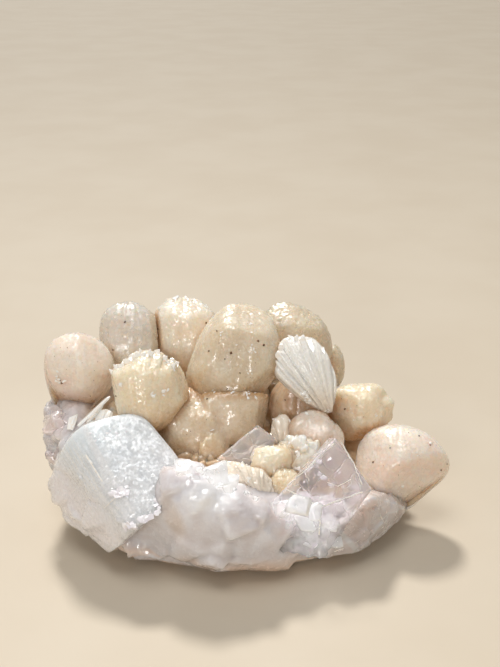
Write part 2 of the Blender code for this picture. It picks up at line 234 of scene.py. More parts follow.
def ball(n):
    """Unit sphere of six n by n patches: points and quads, facing out."""
    if n not in _balls:
        t = np.tan(np.linspace(-math.pi / 4, math.pi / 4, n + 1))
        a, b = np.meshgrid(t, t, indexing="ij")
        index = np.arange((n + 1) ** 2).reshape(n + 1, n + 1)
        patch = np.stack([index[:-1, :-1], index[1:, :-1], index[1:, 1:], index[:-1, 1:]], -1).reshape(-1, 4)
        points, quads = [], []
        for axis in range(3):
            for sign in (-1, 1):
                p = np.zeros((n + 1, n + 1, 3))
                p[..., axis], p[..., (axis + 1) % 3], p[..., (axis + 2) % 3] = sign, a, b * sign
                quads.append(patch + len(points) * (n + 1) ** 2)
                points.append(p.reshape(-1, 3))
        points, quads = np.concatenate(points), np.concatenate(quads)
        points /= np.linalg.norm(points, axis=1)[:, None]
        _, first, same = np.unique(np.round(points, 6), axis=0, return_index=True, return_inverse=True)
        _balls[n] = points[first], same.reshape(-1)[quads]
    return _balls[n]


def normals(points, faces):
    a, b, c = points[faces[:, 0]], points[faces[:, 1]], points[faces[:, 2]]
    n = np.cross(b - a, c - a)
    if faces.shape[1] == 4:
        n = n + np.cross(c - a, points[faces[:, 3]] - a)
    total = np.zeros_like(points)
    for k in range(faces.shape[1]):
        np.add.at(total, faces[:, k], n)
    return total / (np.linalg.norm(total, axis=1)[:, None] + 1e-12)


def join(shapes):
    points, faces, base = [], [], 0
    for p, f in shapes:
        if f.shape[1] == 4:
            f = np.concatenate([f[:, [0, 1, 2]], f[:, [0, 2, 3]]])
        points.append(p)
        faces.append(f + base)
        base += len(p)
    return np.concatenate(points), np.concatenate(faces)


skins = []


def make(name, shape, look, node=None, flat=False, marks=None):
    points, faces = shape
    mesh = bpy.data.meshes.new(name)
    mesh.vertices.add(len(points))
    mesh.vertices.foreach_set("co", ((points + SHIFT) * 0.001).astype(np.float32).ravel())
    sides = faces.shape[1]
    mesh.loops.add(faces.size)
    mesh.loops.foreach_set("vertex_index", faces.astype(np.int32).ravel())
    mesh.polygons.add(len(faces))
    mesh.polygons.foreach_set("loop_start", np.arange(0, faces.size, sides, dtype=np.int32))
    mesh.update(calc_edges=True)
    mesh.validate()
    if flat:
        mesh.shade_flat()
    else:
        mesh.shade_smooth()
    for mark, values in (marks or {}).items():
        mesh.attributes.new(mark, "FLOAT", "POINT").data.foreach_set("value", np.asarray(values, np.float32))
    mesh.materials.append(look)
    if name.startswith("stilbite_"):
        skins.append(shape)
    piece = bpy.data.objects.new(name, mesh)
    bpy.context.scene.collection.objects.link(piece)
    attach(piece, "root")
    if node:
        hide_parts(node)
    return piece


# ---------------------------------------------------------------- shapes


def rounded(key, n, creases=(), power=2.3, grow=0.0):
    """A rounded crystal. A crease (u, v, degrees, slope, soft) turns the surface under, below a line
    through (u, v) of its front that runs at that angle."""
    middle, front, back, reach = CRYSTALS[key]
    d, quads = ball(n)
    x, y, z = d.T
    flat = np.sqrt(x * x + y * y)
    full = (flat**power + np.abs(z) ** power) ** (-1 / power)
    wide = np.where(flat < 1e-6, 0.0, full * (periodic(reach, np.arctan2(y, x)) + grow))
    u, v = wide * x, wide * y
    w = z * full * (np.where(z > 0, front, back) + grow)
    for cu, cv, angle, slope, soft in creases:
        a = math.radians(angle)
        below = (u - cu) * math.sin(a) - (v - cv) * math.cos(a)
        under = np.log1p(np.exp(np.clip(below / soft, -30, 30))) * soft
        w = w - slope * under * smooth(-0.02, 0.5, z)
    w = np.maximum(w, np.where(z > 0, -0.6, 1.0) * np.abs(z) * full * np.where(z > 0, back + grow, -back - grow))
    local = np.stack([u, v, w], 1)
    return np.array(middle) + local @ AXES, quads, d, local


def gap_to(points, key):
    """How far points are outside a rounded crystal, towards its middle."""
    middle, front, back, reach = CRYSTALS[key]
    local = (points - np.array(middle)) @ AXES.T
    u, v, w = local.T
    rho = np.hypot(u, v) / periodic(reach, np.arctan2(v, u))
    g = (rho**2.3 + (np.abs(w) / np.where(w > 0, front, back)) ** 2.3) ** (1 / 2.3)
    return np.linalg.norm(local, axis=1) * (1 - 1 / np.maximum(g, 1e-3))


def nearest_gap(points, skip):
    near = np.full(len(points), 99.0)
    for key in CRYSTALS:
        if key not in skip:
            near = np.minimum(near, gap_to(points, key))
    return near


def fibres(local, apex, count, seed, rise=0.35, ends=0.0, reach=None, wobble=0.12):
    """Height of blades that lie side by side and fan out from an apex (u, v)."""
    r = np.random.default_rng(seed)
    u, v = local[:, 0] - apex[0], local[:, 1] - apex[1]
    angle = np.arctan2(v, u)
    span = np.sqrt(u * u + v * v)
    edges = np.sort(r.uniform(-math.pi, math.pi, count))
    angle = angle + wobble * 0.1 * noise(np.stack([u / 3, v / 3, np.full(len(u), seed * 1.3)], 1), 1.0, seed)
    index = np.searchsorted(edges, angle) % count
    left = edges[index - 1]
    right = edges[index]
    width = (right - left) % (2 * math.pi) + 1e-4
    t = ((angle - left) % (2 * math.pi)) / width
    step, tilt = r.uniform(0, 1, count)[index], r.normal(size=count)[index]
    crown = 1 - (2 * np.clip(t, 0, 1) - 1) ** 4
    size = np.clip(width * span, 0.0, 1.6)
    h = rise * ((step - 0.5) + 0.35 * tilt * (t - 0.5)) + 0.22 * size * (crown - 0.8)
    if ends and reach is not None:
        stop = r.uniform(0.0, 1.0, count)[index]
        h -= ends * smooth(0.0, 0.35, reach - (1.0 - 0.22 * stop)) * (0.4 + 0.6 * stop)
    return h


def flattened(local, seed, count=15, low=0.84, high=0.95, sharp=26.0):
    """Soft flat faces cut into a rounded crystal, mostly at its front and back."""
    r = np.random.default_rng(seed + 700)
    n_i = r.normal(size=(count, 3)) * (1.0, 0.9, 1.0)
    n_i[:, 2] += np.where(n_i[:, 2] > 0, 0.7, -0.7)
    n_i /= np.linalg.norm(n_i, axis=1)[:, None]
    far = (local @ n_i.T).max(0) * r.uniform(low, high, count)
    g = np.clip(local @ n_i.T, 0, None) / far
    return local * ((1 + (g**sharp).sum(1)) ** (-1 / sharp))[:, None]


def stilbite(key, n, seed, druse=0.05, top=0.10, ribs=0.08, lumps=0.30, creases=(), cell=1.1, fillet=2.4, extra=None, kin=(), marks=None, flats=(0.79, 0.92)):
    points, quads, d, local = rounded(key, n, creases)
    local = flattened(local, seed, low=flats[0], high=flats[1])
    points = np.array(CRYSTALS[key][0]) + local @ AXES
    out = normals(points, quads)
    near = nearest_gap(points, (key,))
    h = 0.25 * fillet * (1 - np.clip(near / fillet, 0, 1)) ** 2 * (near > -0.6)
    h += lumps * fbm(points, 7.5, seed, 2)
    turn = np.arctan2(local[:, 0], local[:, 2] + 1e-9)
    along = local[:, 1]
    h += ribs * noise(np.stack([turn * 7.5, along / 9.0, np.full(len(turn), seed * 3.1)], 1), 1.0, seed + 5)
    h += ribs * 0.5 * noise(np.stack([turn * 19.0, along / 5.0, np.full(len(turn), seed * 1.7)], 1), 1.0, seed + 6)
    crown = smooth(0.25, 0.9, d[:, 1])
    h += (druse + top * crown) * facets(points, cell, seed + 9, 0.55, 0.5) / 0.6
    if extra:
        h += extra(local, d, points)
    # The mark is painted shade: near other crystals, low in the dish, and below the steeper creases where the surface
    # turns under.
    if marks is not None:
        apart = nearest_gap(points, (key, *kin)) if kin else near
        under = 0.0
        for cu, cv, angle, slope, _ in creases:
            a = math.radians(angle)
            below = (local[:, 0] - cu) * math.sin(a) - (local[:, 1] - cv) * math.cos(a)
            if slope > 0.6 and abs(angle) < 60:
                under = under + 0.8 * smooth(0.0, 4.5, below)
        marks.append(np.clip(smooth(3.4, 0.2, apart) + 0.6 * smooth(25.0, 20.0, points[:, 2]) + under, 0, 1))
    return points + out * h[:, None], quads


def sight(px, py):
    """Where the camera is and the way it looks through a point of its 500 by 667 view."""
    a, b = (px - 250.0) / 926.4, (333.5 - py) / 926.4
    c, s = math.cos(math.radians(24)), math.sin(math.radians(24))
    return np.array([0.0, -208.0, 142.4]), np.array([a, c + b * s, -s + b * c])


def seen_at(px, py, y):
    start, way = sight(px, py)
    return start + way * ((y - start[1]) / way[1])


def spot(key, px, py):
    """Where a line of sight meets the front of a rounded crystal, and the way that it faces."""
    middle, front, _, reach = CRYSTALS[key]
    start, way = sight(px, py)
    w = front * 0.8
    for _ in range(6):
        plane = np.array(middle) + FACE * w
        p = start + way * (np.dot(plane - start, FACE) / np.dot(way, FACE))
        u, v = (p - np.array(middle)) @ SIDE, (p - np.array(middle)) @ RISE
        r = min(math.hypot(u, v) / float(periodic(reach, math.atan2(v, u))), 0.98)
        w = front * (1 - r**2.3) ** (1 / 2.3)
    return surface_point(key, u, v)


def planes_of(corners):
    bm = bmesh.new()
    for p in corners:
        bm.verts.new(p)
    bmesh.ops.convex_hull(bm, input=bm.verts)
    bmesh.ops.delete(bm, geom=[v for v in bm.verts if not v.link_faces], context="VERTS")
    bmesh.ops.dissolve_limit(bm, angle_limit=math.radians(5), verts=bm.verts, edges=bm.edges)
    bm.normal_update()
    middle = sum((v.co for v in bm.verts), Vector()) / len(bm.verts)
    found = []
    for f in bm.faces:
        far = f.normal.dot(f.calc_center_median() - middle)
        n = f.normal if far > 0 else -f.normal
        found.append((np.array(n), abs(far)))
    bm.free()
    return np.array(middle), np.array([n for n, _ in found]), np.array([max(h, 0.3) for _, h in found])


def block(corners, n, sharp=34.0):
    """A convex crystal with softly rounded edges."""
    middle, n_i, h_i = planes_of(corners)
    d, quads = ball(n)
    g = np.clip(d @ n_i.T, 0, None) / h_i
    r = 1.0 / (g**sharp).sum(1) ** (1.0 / sharp)
    return middle + d * r[:, None], quads


def lump(rng, middle, radii, n=10, faces=11, sharp=16.0, turn=None):
    """A small crystal with random faces."""
    n_i = rng.normal(size=(faces, 3))
    n_i /= np.linalg.norm(n_i, axis=1)[:, None]
    n_i = np.concatenate([n_i, np.eye(3), -np.eye(3)])
    h_i = np.concatenate([rng.uniform(0.72, 1.0, faces), np.full(6, 0.98)])
    d, quads = ball(n)
    g = np.clip(d @ n_i.T, 0, None) / h_i
    r = 1.0 / (g**sharp).sum(1) ** (1.0 / sharp)
    p = d * r[:, None] * np.array(radii)
    if turn is None:
        turn = rotation(rng)
    return np.array(middle) + p @ turn.T, quads


def rotation(rng):
    q = rng.normal(size=4)
    a, b, c, e = q / np.linalg.norm(q)
    return np.array([
        [1 - 2 * (c * c + e * e), 2 * (b * c - a * e), 2 * (b * e + a * c)],
        [2 * (b * c + a * e), 1 - 2 * (b * b + e * e), 2 * (c * e - a * b)],
        [2 * (b * e - a * c), 2 * (c * e + a * b), 1 - 2 * (b * b + c * c)],
    ])


def basis(along, wide):
    """Columns: width, thickness and length directions of a blade."""
    along = np.asarray(along, float) / np.linalg.norm(along)
    wide = np.asarray(wide, float) - along * np.dot(wide, along)
    wide /= np.linalg.norm(wide)
    return np.stack([wide, np.cross(along, wide), along], 1)


def blade(root, tip, wide, width, thick, cut=0.0, taper=0.75, bow=0.0):
    """A flat crystal from root to tip; cut slants its end."""
    root, tip = np.asarray(root, float), np.asarray(tip, float)
    length = np.linalg.norm(tip - root)
    m = basis(tip - root, wide)
    ring = np.array([(-0.5, 0), (-0.38, -0.5), (0.38, -0.5), (0.5, 0), (0.38, 0.5), (-0.38, 0.5)])
    rows = []
    for t, k in ((0.0, taper), (0.3, 0.9), (0.65, 1.0), (0.93, 0.98), (1.0, 0.78)):
        p = np.zeros((6, 3))
        p[:, 0] = ring[:, 0] * width * k
        p[:, 1] = ring[:, 1] * thick * (k if t < 1 else 0.5) + bow * math.sin(t * math.pi)
        p[:, 2] = t * length + (cut * ring[:, 0] * width if t > 0.9 else 0.0)
        rows.append(p)
    points = root + np.concatenate(rows) @ m.T
    faces = []
    for r in range(len(rows) - 1):
        for k in range(6):
            j = (k + 1) % 6
            a, b, c, e = r * 6 + k, r * 6 + j, r * 6 + 6 + j, r * 6 + 6 + k
            faces += [(a, b, c), (a, c, e)]
    last = (len(rows) - 1) * 6
    for k in range(1, 5):
        faces += [(0, k + 1, k), (last, last + k, last + k + 1)]
    return points, np.array(faces)


def surface_point(key, u, v):
    """A point on the front of a rounded crystal, at (u, v) of its outline plane, and the way it faces."""
    middle, front, _, reach = CRYSTALS[key]
    far = float(periodic(reach, math.atan2(v, u)))
    r = min(math.hypot(u, v) / far, 0.999)
    w = front * (1 - r**2.3) ** (1 / 2.3)
    out = np.array([u / far**2, v / far**2, w / front**2])
    out /= np.linalg.norm(out)
    return np.array(middle) + np.array([u, v, w]) @ AXES, out @ AXES


def edge_point(key, angle, lift=0.0):
    """A point on the outline of a rounded crystal."""
    middle, _, _, reach = CRYSTALS[key]
    a = math.radians(angle)
    r = float(periodic(reach, a)) + lift
    return np.array(middle) + r * (math.cos(a) * SIDE + math.sin(a) * RISE)


# ---------------------------------------------------------------- materials


class Nodes:
    """Short names for a material's nodes."""

    def __init__(self, name):
        self.material = bpy.data.materials.new(name)
        self.material.use_nodes = True
        self.tree = self.material.node_tree
        self.shader = self.tree.nodes["Principled BSDF"]
        self.place = self.tree.nodes.new("ShaderNodeTexCoord").outputs["Object"]

    def link(self, a, b):
        self.tree.links.new(a, b)

    def math(self, kind, a, b=None, clamp=False):
        n = self.tree.nodes.new("ShaderNodeMath")
        n.operation, n.use_clamp = kind, clamp
        for k, value in enumerate((a, b)):
            if value is None:
                continue
            if isinstance(value, (int, float)):
                n.inputs[k].default_value = value
            else:
                self.link(value, n.inputs[k])
        return n.outputs[0]

    def vector(self, kind, a, b=None, scale=None):
        n = self.tree.nodes.new("ShaderNodeVectorMath")
        n.operation = kind
        for k, value in enumerate((a, b)):
            if value is None:
                continue
            if isinstance(value, tuple):
                n.inputs[k].default_value = value
            else:
                self.link(value, n.inputs[k])
        if scale is not None:
            n.inputs["Scale"].default_value = scale
        return n.outputs["Vector"]

    def mapped(self, scale=(1, 1, 1), turn=(0, 0, 0), move=(0, 0, 0)):
        n = self.tree.nodes.new("ShaderNodeMapping")
        n.inputs["Scale"].default_value = scale
        n.inputs["Rotation"].default_value = turn
        n.inputs["Location"].default_value = move
        self.link(self.place, n.inputs["Vector"])
        return n.outputs["Vector"]

    def mark(self, name):
        n = self.tree.nodes.new("ShaderNodeAttribute")
        n.attribute_name = name
        return n.outputs["Fac"]

    def noise(self, size_mm, detail=3, rough=0.55, warp=0.0, at=None):
        n = self.tree.nodes.new("ShaderNodeTexNoise")
        n.inputs["Scale"].default_value = 1000.0 / size_mm
        n.inputs["Detail"].default_value = detail
        n.inputs["Roughness"].default_value = rough
        n.inputs["Distortion"].default_value = warp
        self.link(at or self.place, n.inputs["Vector"])
        return n.outputs["Fac"]

    def voronoi(self, size_mm, feature="F1", at=None, out="Distance"):
        n = self.tree.nodes.new("ShaderNodeTexVoronoi")
        n.feature = feature
        n.inputs["Scale"].default_value = 1000.0 / size_mm
        self.link(at or self.place, n.inputs["Vector"])
        return n.outputs[out]

    def ranged(self, value, a, b, c=0.0, d=1.0):
        n = self.tree.nodes.new("ShaderNodeMapRange")
        n.interpolation_type = "SMOOTHSTEP"
        for k, x in zip(("From Min", "From Max", "To Min", "To Max"), (a, b, c, d)):
            n.inputs[k].default_value = x
        self.link(value, n.inputs["Value"])
        return n.outputs["Result"]

    def mix(self, factor, a, b, blend="MIX"):
        n = self.tree.nodes.new("ShaderNodeMix")
        n.data_type, n.blend_type = "RGBA", blend
        colour_in = [s for s in n.inputs if s.type == "RGBA"]
        fac = next(s for s in n.inputs if s.type == "VALUE" and s.name == "Factor")
        if isinstance(factor, (int, float)):
            fac.default_value = factor
        else:
            self.link(factor, fac)
        for socket, value in zip(colour_in, (a, b)):
            if isinstance(value, tuple):
                socket.default_value = (*value, 1.0)
            else:
                self.link(value, socket)
        return next(s for s in n.outputs if s.type == "RGBA")

    def bump(self, height, distance_mm, strength=1.0, under=None):
        n = self.tree.nodes.new("ShaderNodeBump")
        n.inputs["Distance"].default_value = distance_mm / 1000.0
        n.inputs["Strength"].default_value = strength
        self.link(height, n.inputs["Height"])
        if under:
            self.link(under, n.inputs["Normal"])
        return n.outputs["Normal"]

    def glitter(self, size_mm, amount, under, at=None):
        """Small crystal faces that each lean their own way."""
        cell = self.voronoi(size_mm, "F1", at, "Color")
        lean = self.vector("SCALE", self.vector("SUBTRACT", cell, (0.5, 0.5, 0.5)), None, amount)
        return self.vector("NORMALIZE", self.vector("ADD", under, lean))

    def along(self, direction, middle_mm):
        """How far a point is from a middle, along a direction, in mm."""
        gone = self.vector("SUBTRACT", self.place, tuple((np.array(middle_mm) + SHIFT) * 0.001))
        dot = self.tree.nodes.new("ShaderNodeVectorMath")
        dot.operation = "DOT_PRODUCT"
        self.link(gone, dot.inputs[0])
        dot.inputs[1].default_value = tuple(np.array(direction) * 1000.0)
        return dot.outputs["Value"]

    def put(self, **values):
        for name, value in values.items():
            socket = self.shader.inputs[name.replace("_", " ")]
            if isinstance(value, (int, float)):
                socket.default_value = value
            elif isinstance(value, tuple):
                socket.default_value = (*value, 1.0) if socket.type == "RGBA" else value
            else:
                self.link(value, socket)


def rgb(r, g, b):
    """Colour as seen on screen, 0 to 255, to the linear values that nodes take."""
    out = []
    for c in (r, g, b):
        c /= 255.0
        out.append(c / 12.92 if c <= 0.04045 else ((c + 0.055) / 1.055) ** 2.4)
    return tuple(out)


def stilbite_look(name, key, pale, body, root, seed=0, gloss=0.30, streak=0.5, reach=4.2, clear=0.06, blush=None, glint=0.42, inner=0.85):
    """Pearly, translucent stilbite with fine faces: paler at the crown and warmer at the root, partly its own tone and
    partly painted light and shade, and painted shade in the clefts.
    """
    m = Nodes(name)
    middle, _, _, outline = CRYSTALS[key]
    height = m.along(RISE, middle)
    size = sum(outline) / len(outline)
    patch = m.noise(7.5, 4, 0.6, 0.4, m.mapped(move=(seed * 0.37, seed * 0.11, seed * 0.23)))
    colour = m.mix(m.ranged(patch, 0.34, 0.68), body, pale)
    # Paler toward the crown: partly the stilbite's own tone, partly painted light from above.
    colour = m.mix(m.math("MULTIPLY", m.ranged(height, size * 0.1, size * 0.95), 0.6), colour, pale)
    # Root colour toward the lower end: partly its own warmer tone, partly painted shade on the underside.
    colour = m.mix(m.ranged(height, -size * 0.25, -size * 1.0, 0.0, 0.8), colour, root)
    if blush:
        colour = m.mix(m.ranged(m.noise(9.0, 3, 0.5, 0.3, m.mapped(move=(seed * 0.5 + 3.0, 0, 0))), 0.46, 0.66), colour, blush)
    # Painted shade: the root colour, then a darker root colour, where the mark says a crystal meets others, lies low or
    # turns under.
    painted_shade = m.mark("painted_shade")
    colour = m.mix(m.ranged(painted_shade, 0.2, 1.0, 0.0, 0.75), colour, root)
    colour = m.mix(m.ranged(painted_shade, 0.8, 1.0, 0.0, 0.35), colour, tuple(c * k for c, k in zip(root, (0.86, 0.76, 0.66))))
    lines = m.noise(0.6, 3, 0.6, 0.2, m.mapped(scale=(1.0, 0.12, 1.0), turn=(math.pi / 2 - LEAN, 0, 0)))
    colour = m.mix(m.ranged(lines, 0.4, 0.75, 0.0, 0.16 * streak), colour, tuple(0.75 * c for c in root))
    mottle = m.noise(0.8, 4, 0.75)
    colour = m.mix(m.ranged(mottle, 0.48, 0.72, 0.0, 0.35), colour, rgb(247, 240, 228))
    colour = m.mix(m.ranged(mottle, 0.46, 0.28, 0.0, 0.13), colour, root)
    rough = m.ranged(m.noise(2.6, 3, 0.6), 0.3, 0.7, gloss - 0.14, gloss + 0.12)
    normal = m.bump(m.noise(0.45, 3, 0.7), 0.07, 0.7)
    normal = m.bump(lines, 0.08, 0.6 * streak, normal)
    m.put(
        Base_Color=colour, Roughness=rough, Normal=m.glitter(0.42, glint * 0.55, normal), IOR=1.5,
        Subsurface_Weight=inner, Subsurface_Scale=reach / 1000.0, Subsurface_Radius=(1.0, 0.84, 0.66), Transmission_Weight=clear,
        Coat_Weight=0.7, Coat_Roughness=0.10, Coat_Normal=m.glitter(0.7, glint * 0.22, m.bump(m.noise(2.4, 2, 0.5), 0.32, 0.8)),
    )
    return m.material


def frosted_look(name, pale, body, tint, gloss=0.30, reach=4.0, clear=0.0, veil=0.5, seed=0, turn=(0.0, 0.6, 0.3), flush=None, lines_on=0.5, glint=0.45, frost=0.4):
    """Milky apophyllite with white veils inside, fine sparkle and faint striations."""
    m = Nodes(name)
    cloud = m.noise(9.0, 4, 0.55, 0.8, m.mapped(move=(seed * 0.31, 0.2, seed * 0.17)))
    colour = m.mix(m.ranged(cloud, 0.35, 0.65), body, pale)
    dark = m.noise(10.0, 3, 0.5, 0.5, m.mapped(move=(5.0, 0, seed)))
    colour = m.mix(m.ranged(dark, 0.52, 0.74, 0.0, 0.7), colour, tint)
    wisps = m.noise(3.6, 5, 0.65, 1.6)
    colour = m.mix(m.ranged(wisps, 0.54, 0.74, 0.0, veil), colour, rgb(244, 245, 247))
    if flush:
        colour = flush(m, colour)
    # Whitening from the mark: painted highlight lines on edges, painted glint spots, and random white spots.
    colour = m.mix(m.ranged(m.mark("wear_and_glint"), 0.25, 0.8, 0.0, 0.75), colour, rgb(247, 247, 248))
    grains = m.noise(0.9, 4, 0.75)
    colour = m.mix(m.ranged(grains, 0.52, 0.70, 0.0, frost), colour, rgb(247, 247, 248))
    lines = m.noise(0.7, 3, 0.6, 0.1, m.mapped(scale=(1.0, 0.08, 1.0), turn=turn))
    rough = m.ranged(m.noise(2.0, 3, 0.6), 0.3, 0.7, gloss - 0.16, gloss + 0.12)
    normal = m.bump(m.noise(0.6, 4, 0.7), 0.05, 0.5)
    normal = m.bump(lines, 0.07, lines_on, normal)
    m.put(
        Base_Color=colour, Roughness=rough, Normal=m.glitter(0.5, glint * 0.45, normal), IOR=1.53, Transmission_Weight=clear,
        Subsurface_Weight=0.85, Subsurface_Scale=reach / 1000.0, Subsurface_Radius=(0.95, 0.97, 1.0),
        Coat_Weight=1.0, Coat_Roughness=0.06, Coat_Normal=m.glitter(0.7, glint * 0.35, m.bump(m.noise(2.0, 3, 0.5), 0.25, 0.7)),
    )
    return m.material


def clear_look(name, tone, milk, absorb, density=25.0, rough=0.10, clear=0.8):
    """See-through crystal with a little colour, veils and scratched faces."""
    m = Nodes(name)
    cloud = m.noise(3.4, 5, 0.65, 1.4)
    colour = m.mix(m.ranged(cloud, 0.45, 0.70), tone, milk)
    # Whitening from the mark: painted highlight lines along the edges, and white spots.
    colour = m.mix(m.ranged(m.mark("wear_and_glint"), 0.3, 0.85, 0.0, 0.9), colour, rgb(254, 253, 254))
    cracks = m.voronoi(4.0, "DISTANCE_TO_EDGE", m.vector("ADD", m.mapped(scale=(1.0, 1.0, 0.6), turn=(0.4, 0.1, 0.9)), m.vector("SCALE", m.voronoi(2.5, "SMOOTH_F1", None, "Color"), None, 0.0016)))
    normal = m.bump(m.noise(1.1, 4, 0.6, 0.8), 0.07, 0.5)
    normal = m.bump(m.ranged(cracks, 0.0, 0.07), 0.16, 0.7, normal)
    m.put(
        Base_Color=colour, Roughness=m.ranged(m.noise(1.6, 3, 0.6), 0.35, 0.7, rough * 0.4, rough * 2.2), Normal=normal,
        IOR=1.535, Transmission_Weight=clear, Subsurface_Weight=1.0, Subsurface_Scale=0.006, Subsurface_Radius=(1.0, 0.9, 1.0),
        Coat_Weight=0.3, Coat_Roughness=0.04,
    )
    v = m.tree.nodes.new("ShaderNodeVolumeAbsorption")
    v.inputs["Color"].default_value = (*absorb, 1.0)
    v.inputs["Density"].default_value = density
    m.link(v.outputs["Volume"], m.tree.nodes["Material Output"].inputs["Volume"])
    return m.material


def plain_look(name, a, b, size_mm, rough=0.4, bump_mm=0.05, **more):
    m = Nodes(name)
    grain = m.noise(size_mm, 4, 0.6)
    m.put(Base_Color=m.mix(m.ranged(grain, 0.35, 0.65), a, b), Roughness=rough, Normal=m.bump(m.noise(size_mm * 0.4, 3, 0.6), bump_mm, 0.6), **more)
    return m.material


PINK = rgb(246, 222, 206)
BEIGE = rgb(228, 208, 178)
TAN = rgb(222, 184, 140)
BROWN = rgb(204, 160, 112)
WHITE = rgb(253, 250, 244)

looks = {
    "left": stilbite_look("peach_left", "left", rgb(247, 236, 223), rgb(246, 229, 211), rgb(206, 158, 110), 1, blush=PINK),
    "back_left": stilbite_look("grey_back_left", "back_left", rgb(247, 240, 230), rgb(236, 225, 211), BEIGE, 2, reach=5.0, clear=0.3),
    "back_centre": stilbite_look("cream_back_centre", "back_centre", rgb(247, 236, 219), rgb(246, 228, 204), TAN, 3, gloss=0.26),
    "mid_left": stilbite_look("cream_mid_left", "mid_left", rgb(247, 235, 211), rgb(246, 226, 194), TAN, 4, streak=0.8, gloss=0.28),
    "tall": stilbite_look("beige_tall", "tall", rgb(236, 223, 201), rgb(225, 207, 178), rgb(214, 182, 142), 5, streak=0.8, reach=5.0, clear=0.1),
    "low": stilbite_look("beige_low", "low_left", rgb(232, 213, 187), rgb(221, 197, 163), BROWN, 6),
    "back_right": stilbite_look("beige_back_right", "back_right", rgb(245, 231, 206), rgb(234, 214, 184), BEIGE, 7, reach=5.0, clear=0.3),
    "sheaf": stilbite_look("pearl_sheaf", "sheaf", rgb(255, 251, 243), rgb(254, 247, 236), rgb(248, 230, 208), 8, gloss=0.24, streak=0.1, reach=1.2, inner=0.2),
    "root": stilbite_look("tan_root", "sheaf_root", rgb(236, 210, 180), rgb(224, 190, 154), BROWN, 9),
    "right": stilbite_look("cream_right", "right", rgb(249, 234, 208), rgb(240, 220, 188), rgb(230, 184, 132), 10),
    "far_right": stilbite_look("peach_far_right", "far_right", rgb(247, 236, 223), rgb(246, 229, 213), rgb(243, 223, 202), 11, blush=PINK),
    "knob_pink": stilbite_look("pink_knob", "knob_pink", rgb(241, 224, 208), rgb(230, 207, 187), rgb(220, 184, 152), 12, blush=rgb(230, 206, 194)),
    "knobs": stilbite_look("cream_knobs", "knob_yellow", rgb(246, 234, 212), rgb(244, 225, 196), rgb(240, 214, 180), 13, gloss=0.26),
    "knob_white": stilbite_look("white_knob", "knob_white", rgb(247, 241, 231), rgb(245, 232, 212), rgb(236, 206, 168), 16, gloss=0.22),
    "rear": stilbite_look("peach_rear", "rear", rgb(246, 232, 212), rgb(243, 220, 194), TAN, 14),
    "druse": stilbite_look("tan_druse", "low_left", rgb(232, 214, 188), rgb(220, 196, 164), rgb(206, 172, 134), 15, reach=1.0),
}


def crust_flush(m, colour):
    """Tan where the dish holds stilbite, a warm band low on the wall, and a brown cloudy strip."""
    low = m.ranged(m.along((0, 0, 1), (0, 0, 0)), 10.0, 1.0)
    band = m.math("MULTIPLY", low, m.ranged(m.noise(8.0, 3, 0.6, 0.8, m.mapped(scale=(0.6, 1.0, 1.4))), 0.38, 0.60))
    colour = m.mix(m.math("MULTIPLY", band, 0.8), colour, rgb(240, 204, 172))
    right = m.ranged(m.along((0.85, 0, -1.0), (14, 0, 5)), -3.0, 5.0)
    colour = m.mix(m.math("MULTIPLY", right, 0.6), colour, rgb(238, 206, 170))
    x = m.math("DIVIDE", m.along((1, 0, 0), (CRUST_X, 0, 0)), 39.0)
    y = m.math("DIVIDE", m.along((0, 1, 0), (0, CRUST_Y + 1.0, 0)), 23.5)
    r = m.math("ADD", m.math("MULTIPLY", x, x), m.math("MULTIPLY", y, y))
    high = m.ranged(m.along((0, 0, 1), (0, 0, 12)), 0.0, 3.0)
    inside = m.math("MULTIPLY", m.ranged(r, 1.05, 0.80), high)
    strip = m.ranged(m.vector_length((1.0, 0.0, 0.45), (-17.5, 0, 18.5), 3.6), 1.0, 0.35, 0.0, 0.55)
    colour = m.mix(strip, colour, rgb(214, 196, 180))
    return m.mix(inside, colour, rgb(228, 198, 160))


def vector_length(self, weights, middle, size):
    a = self.along((1, 0, 0.35), middle)
    b = self.along((-0.35, 0, 1), middle)
    a = self.math("DIVIDE", a, size)
    b = self.math("DIVIDE", b, size * 2.0)
    return self.math("SQRT", self.math("ADD", self.math("MULTIPLY", a, a), self.math("MULTIPLY", b, b)))


Nodes.vector_length = vector_length


def slab_flush(m, colour):
    """Bluish above, faintly pink where the lower left face is clearer."""
    lower = m.ranged(m.along((-0.55, 0, -1.0), (-36, 0, 20)), -3.0, 9.0, 0.0, 0.8)
    colour = m.mix(lower, colour, rgb(249, 240, 238))
    upper = m.ranged(m.along((-0.3, 0, 1.0), (-36, 0, 27)), -2.0, 7.0, 0.0, 0.75)
    return m.mix(upper, colour, rgb(236, 243, 246))


looks["crust"] = frosted_look("milky_crust", rgb(229, 227, 230), rgb(219, 212, 212), rgb(218, 203, 197), gloss=0.22, veil=0.25, seed=1, flush=crust_flush, frost=0.12, glint=0.2, lines_on=0.2)
looks["facet"] = frosted_look("grey_facets", rgb(243, 236, 235), rgb(232, 219, 216), rgb(232, 212, 200), gloss=0.2, veil=0.35, seed=4, frost=0.15, clear=0.3, glint=0.2, lines_on=0.3, reach=3.0)
looks["shard"] = frosted_look("glassy_shards", rgb(246, 238, 236), rgb(232, 218, 214), rgb(228, 204, 192), gloss=0.16, veil=0.5, seed=6, frost=0.2, clear=0.5, glint=0.3, lines_on=0.2, reach=1.2)
looks["slab"] = frosted_look("frosted_slab", rgb(236, 238, 240), rgb(227, 231, 235), rgb(231, 227, 228), gloss=0.24, veil=0.5, seed=2, turn=(0.0, -0.75, 0.0), flush=slab_flush, lines_on=0.7, glint=0.7, frost=0.5, clear=0.1)
looks["lumps"] = frosted_look("glassy_lumps", rgb(248, 249, 250), rgb(245, 247, 249), rgb(244, 241, 239), gloss=0.18, veil=0.8, seed=3, glint=0.35, reach=1.5, clear=0.45, frost=0.5, lines_on=0.1)
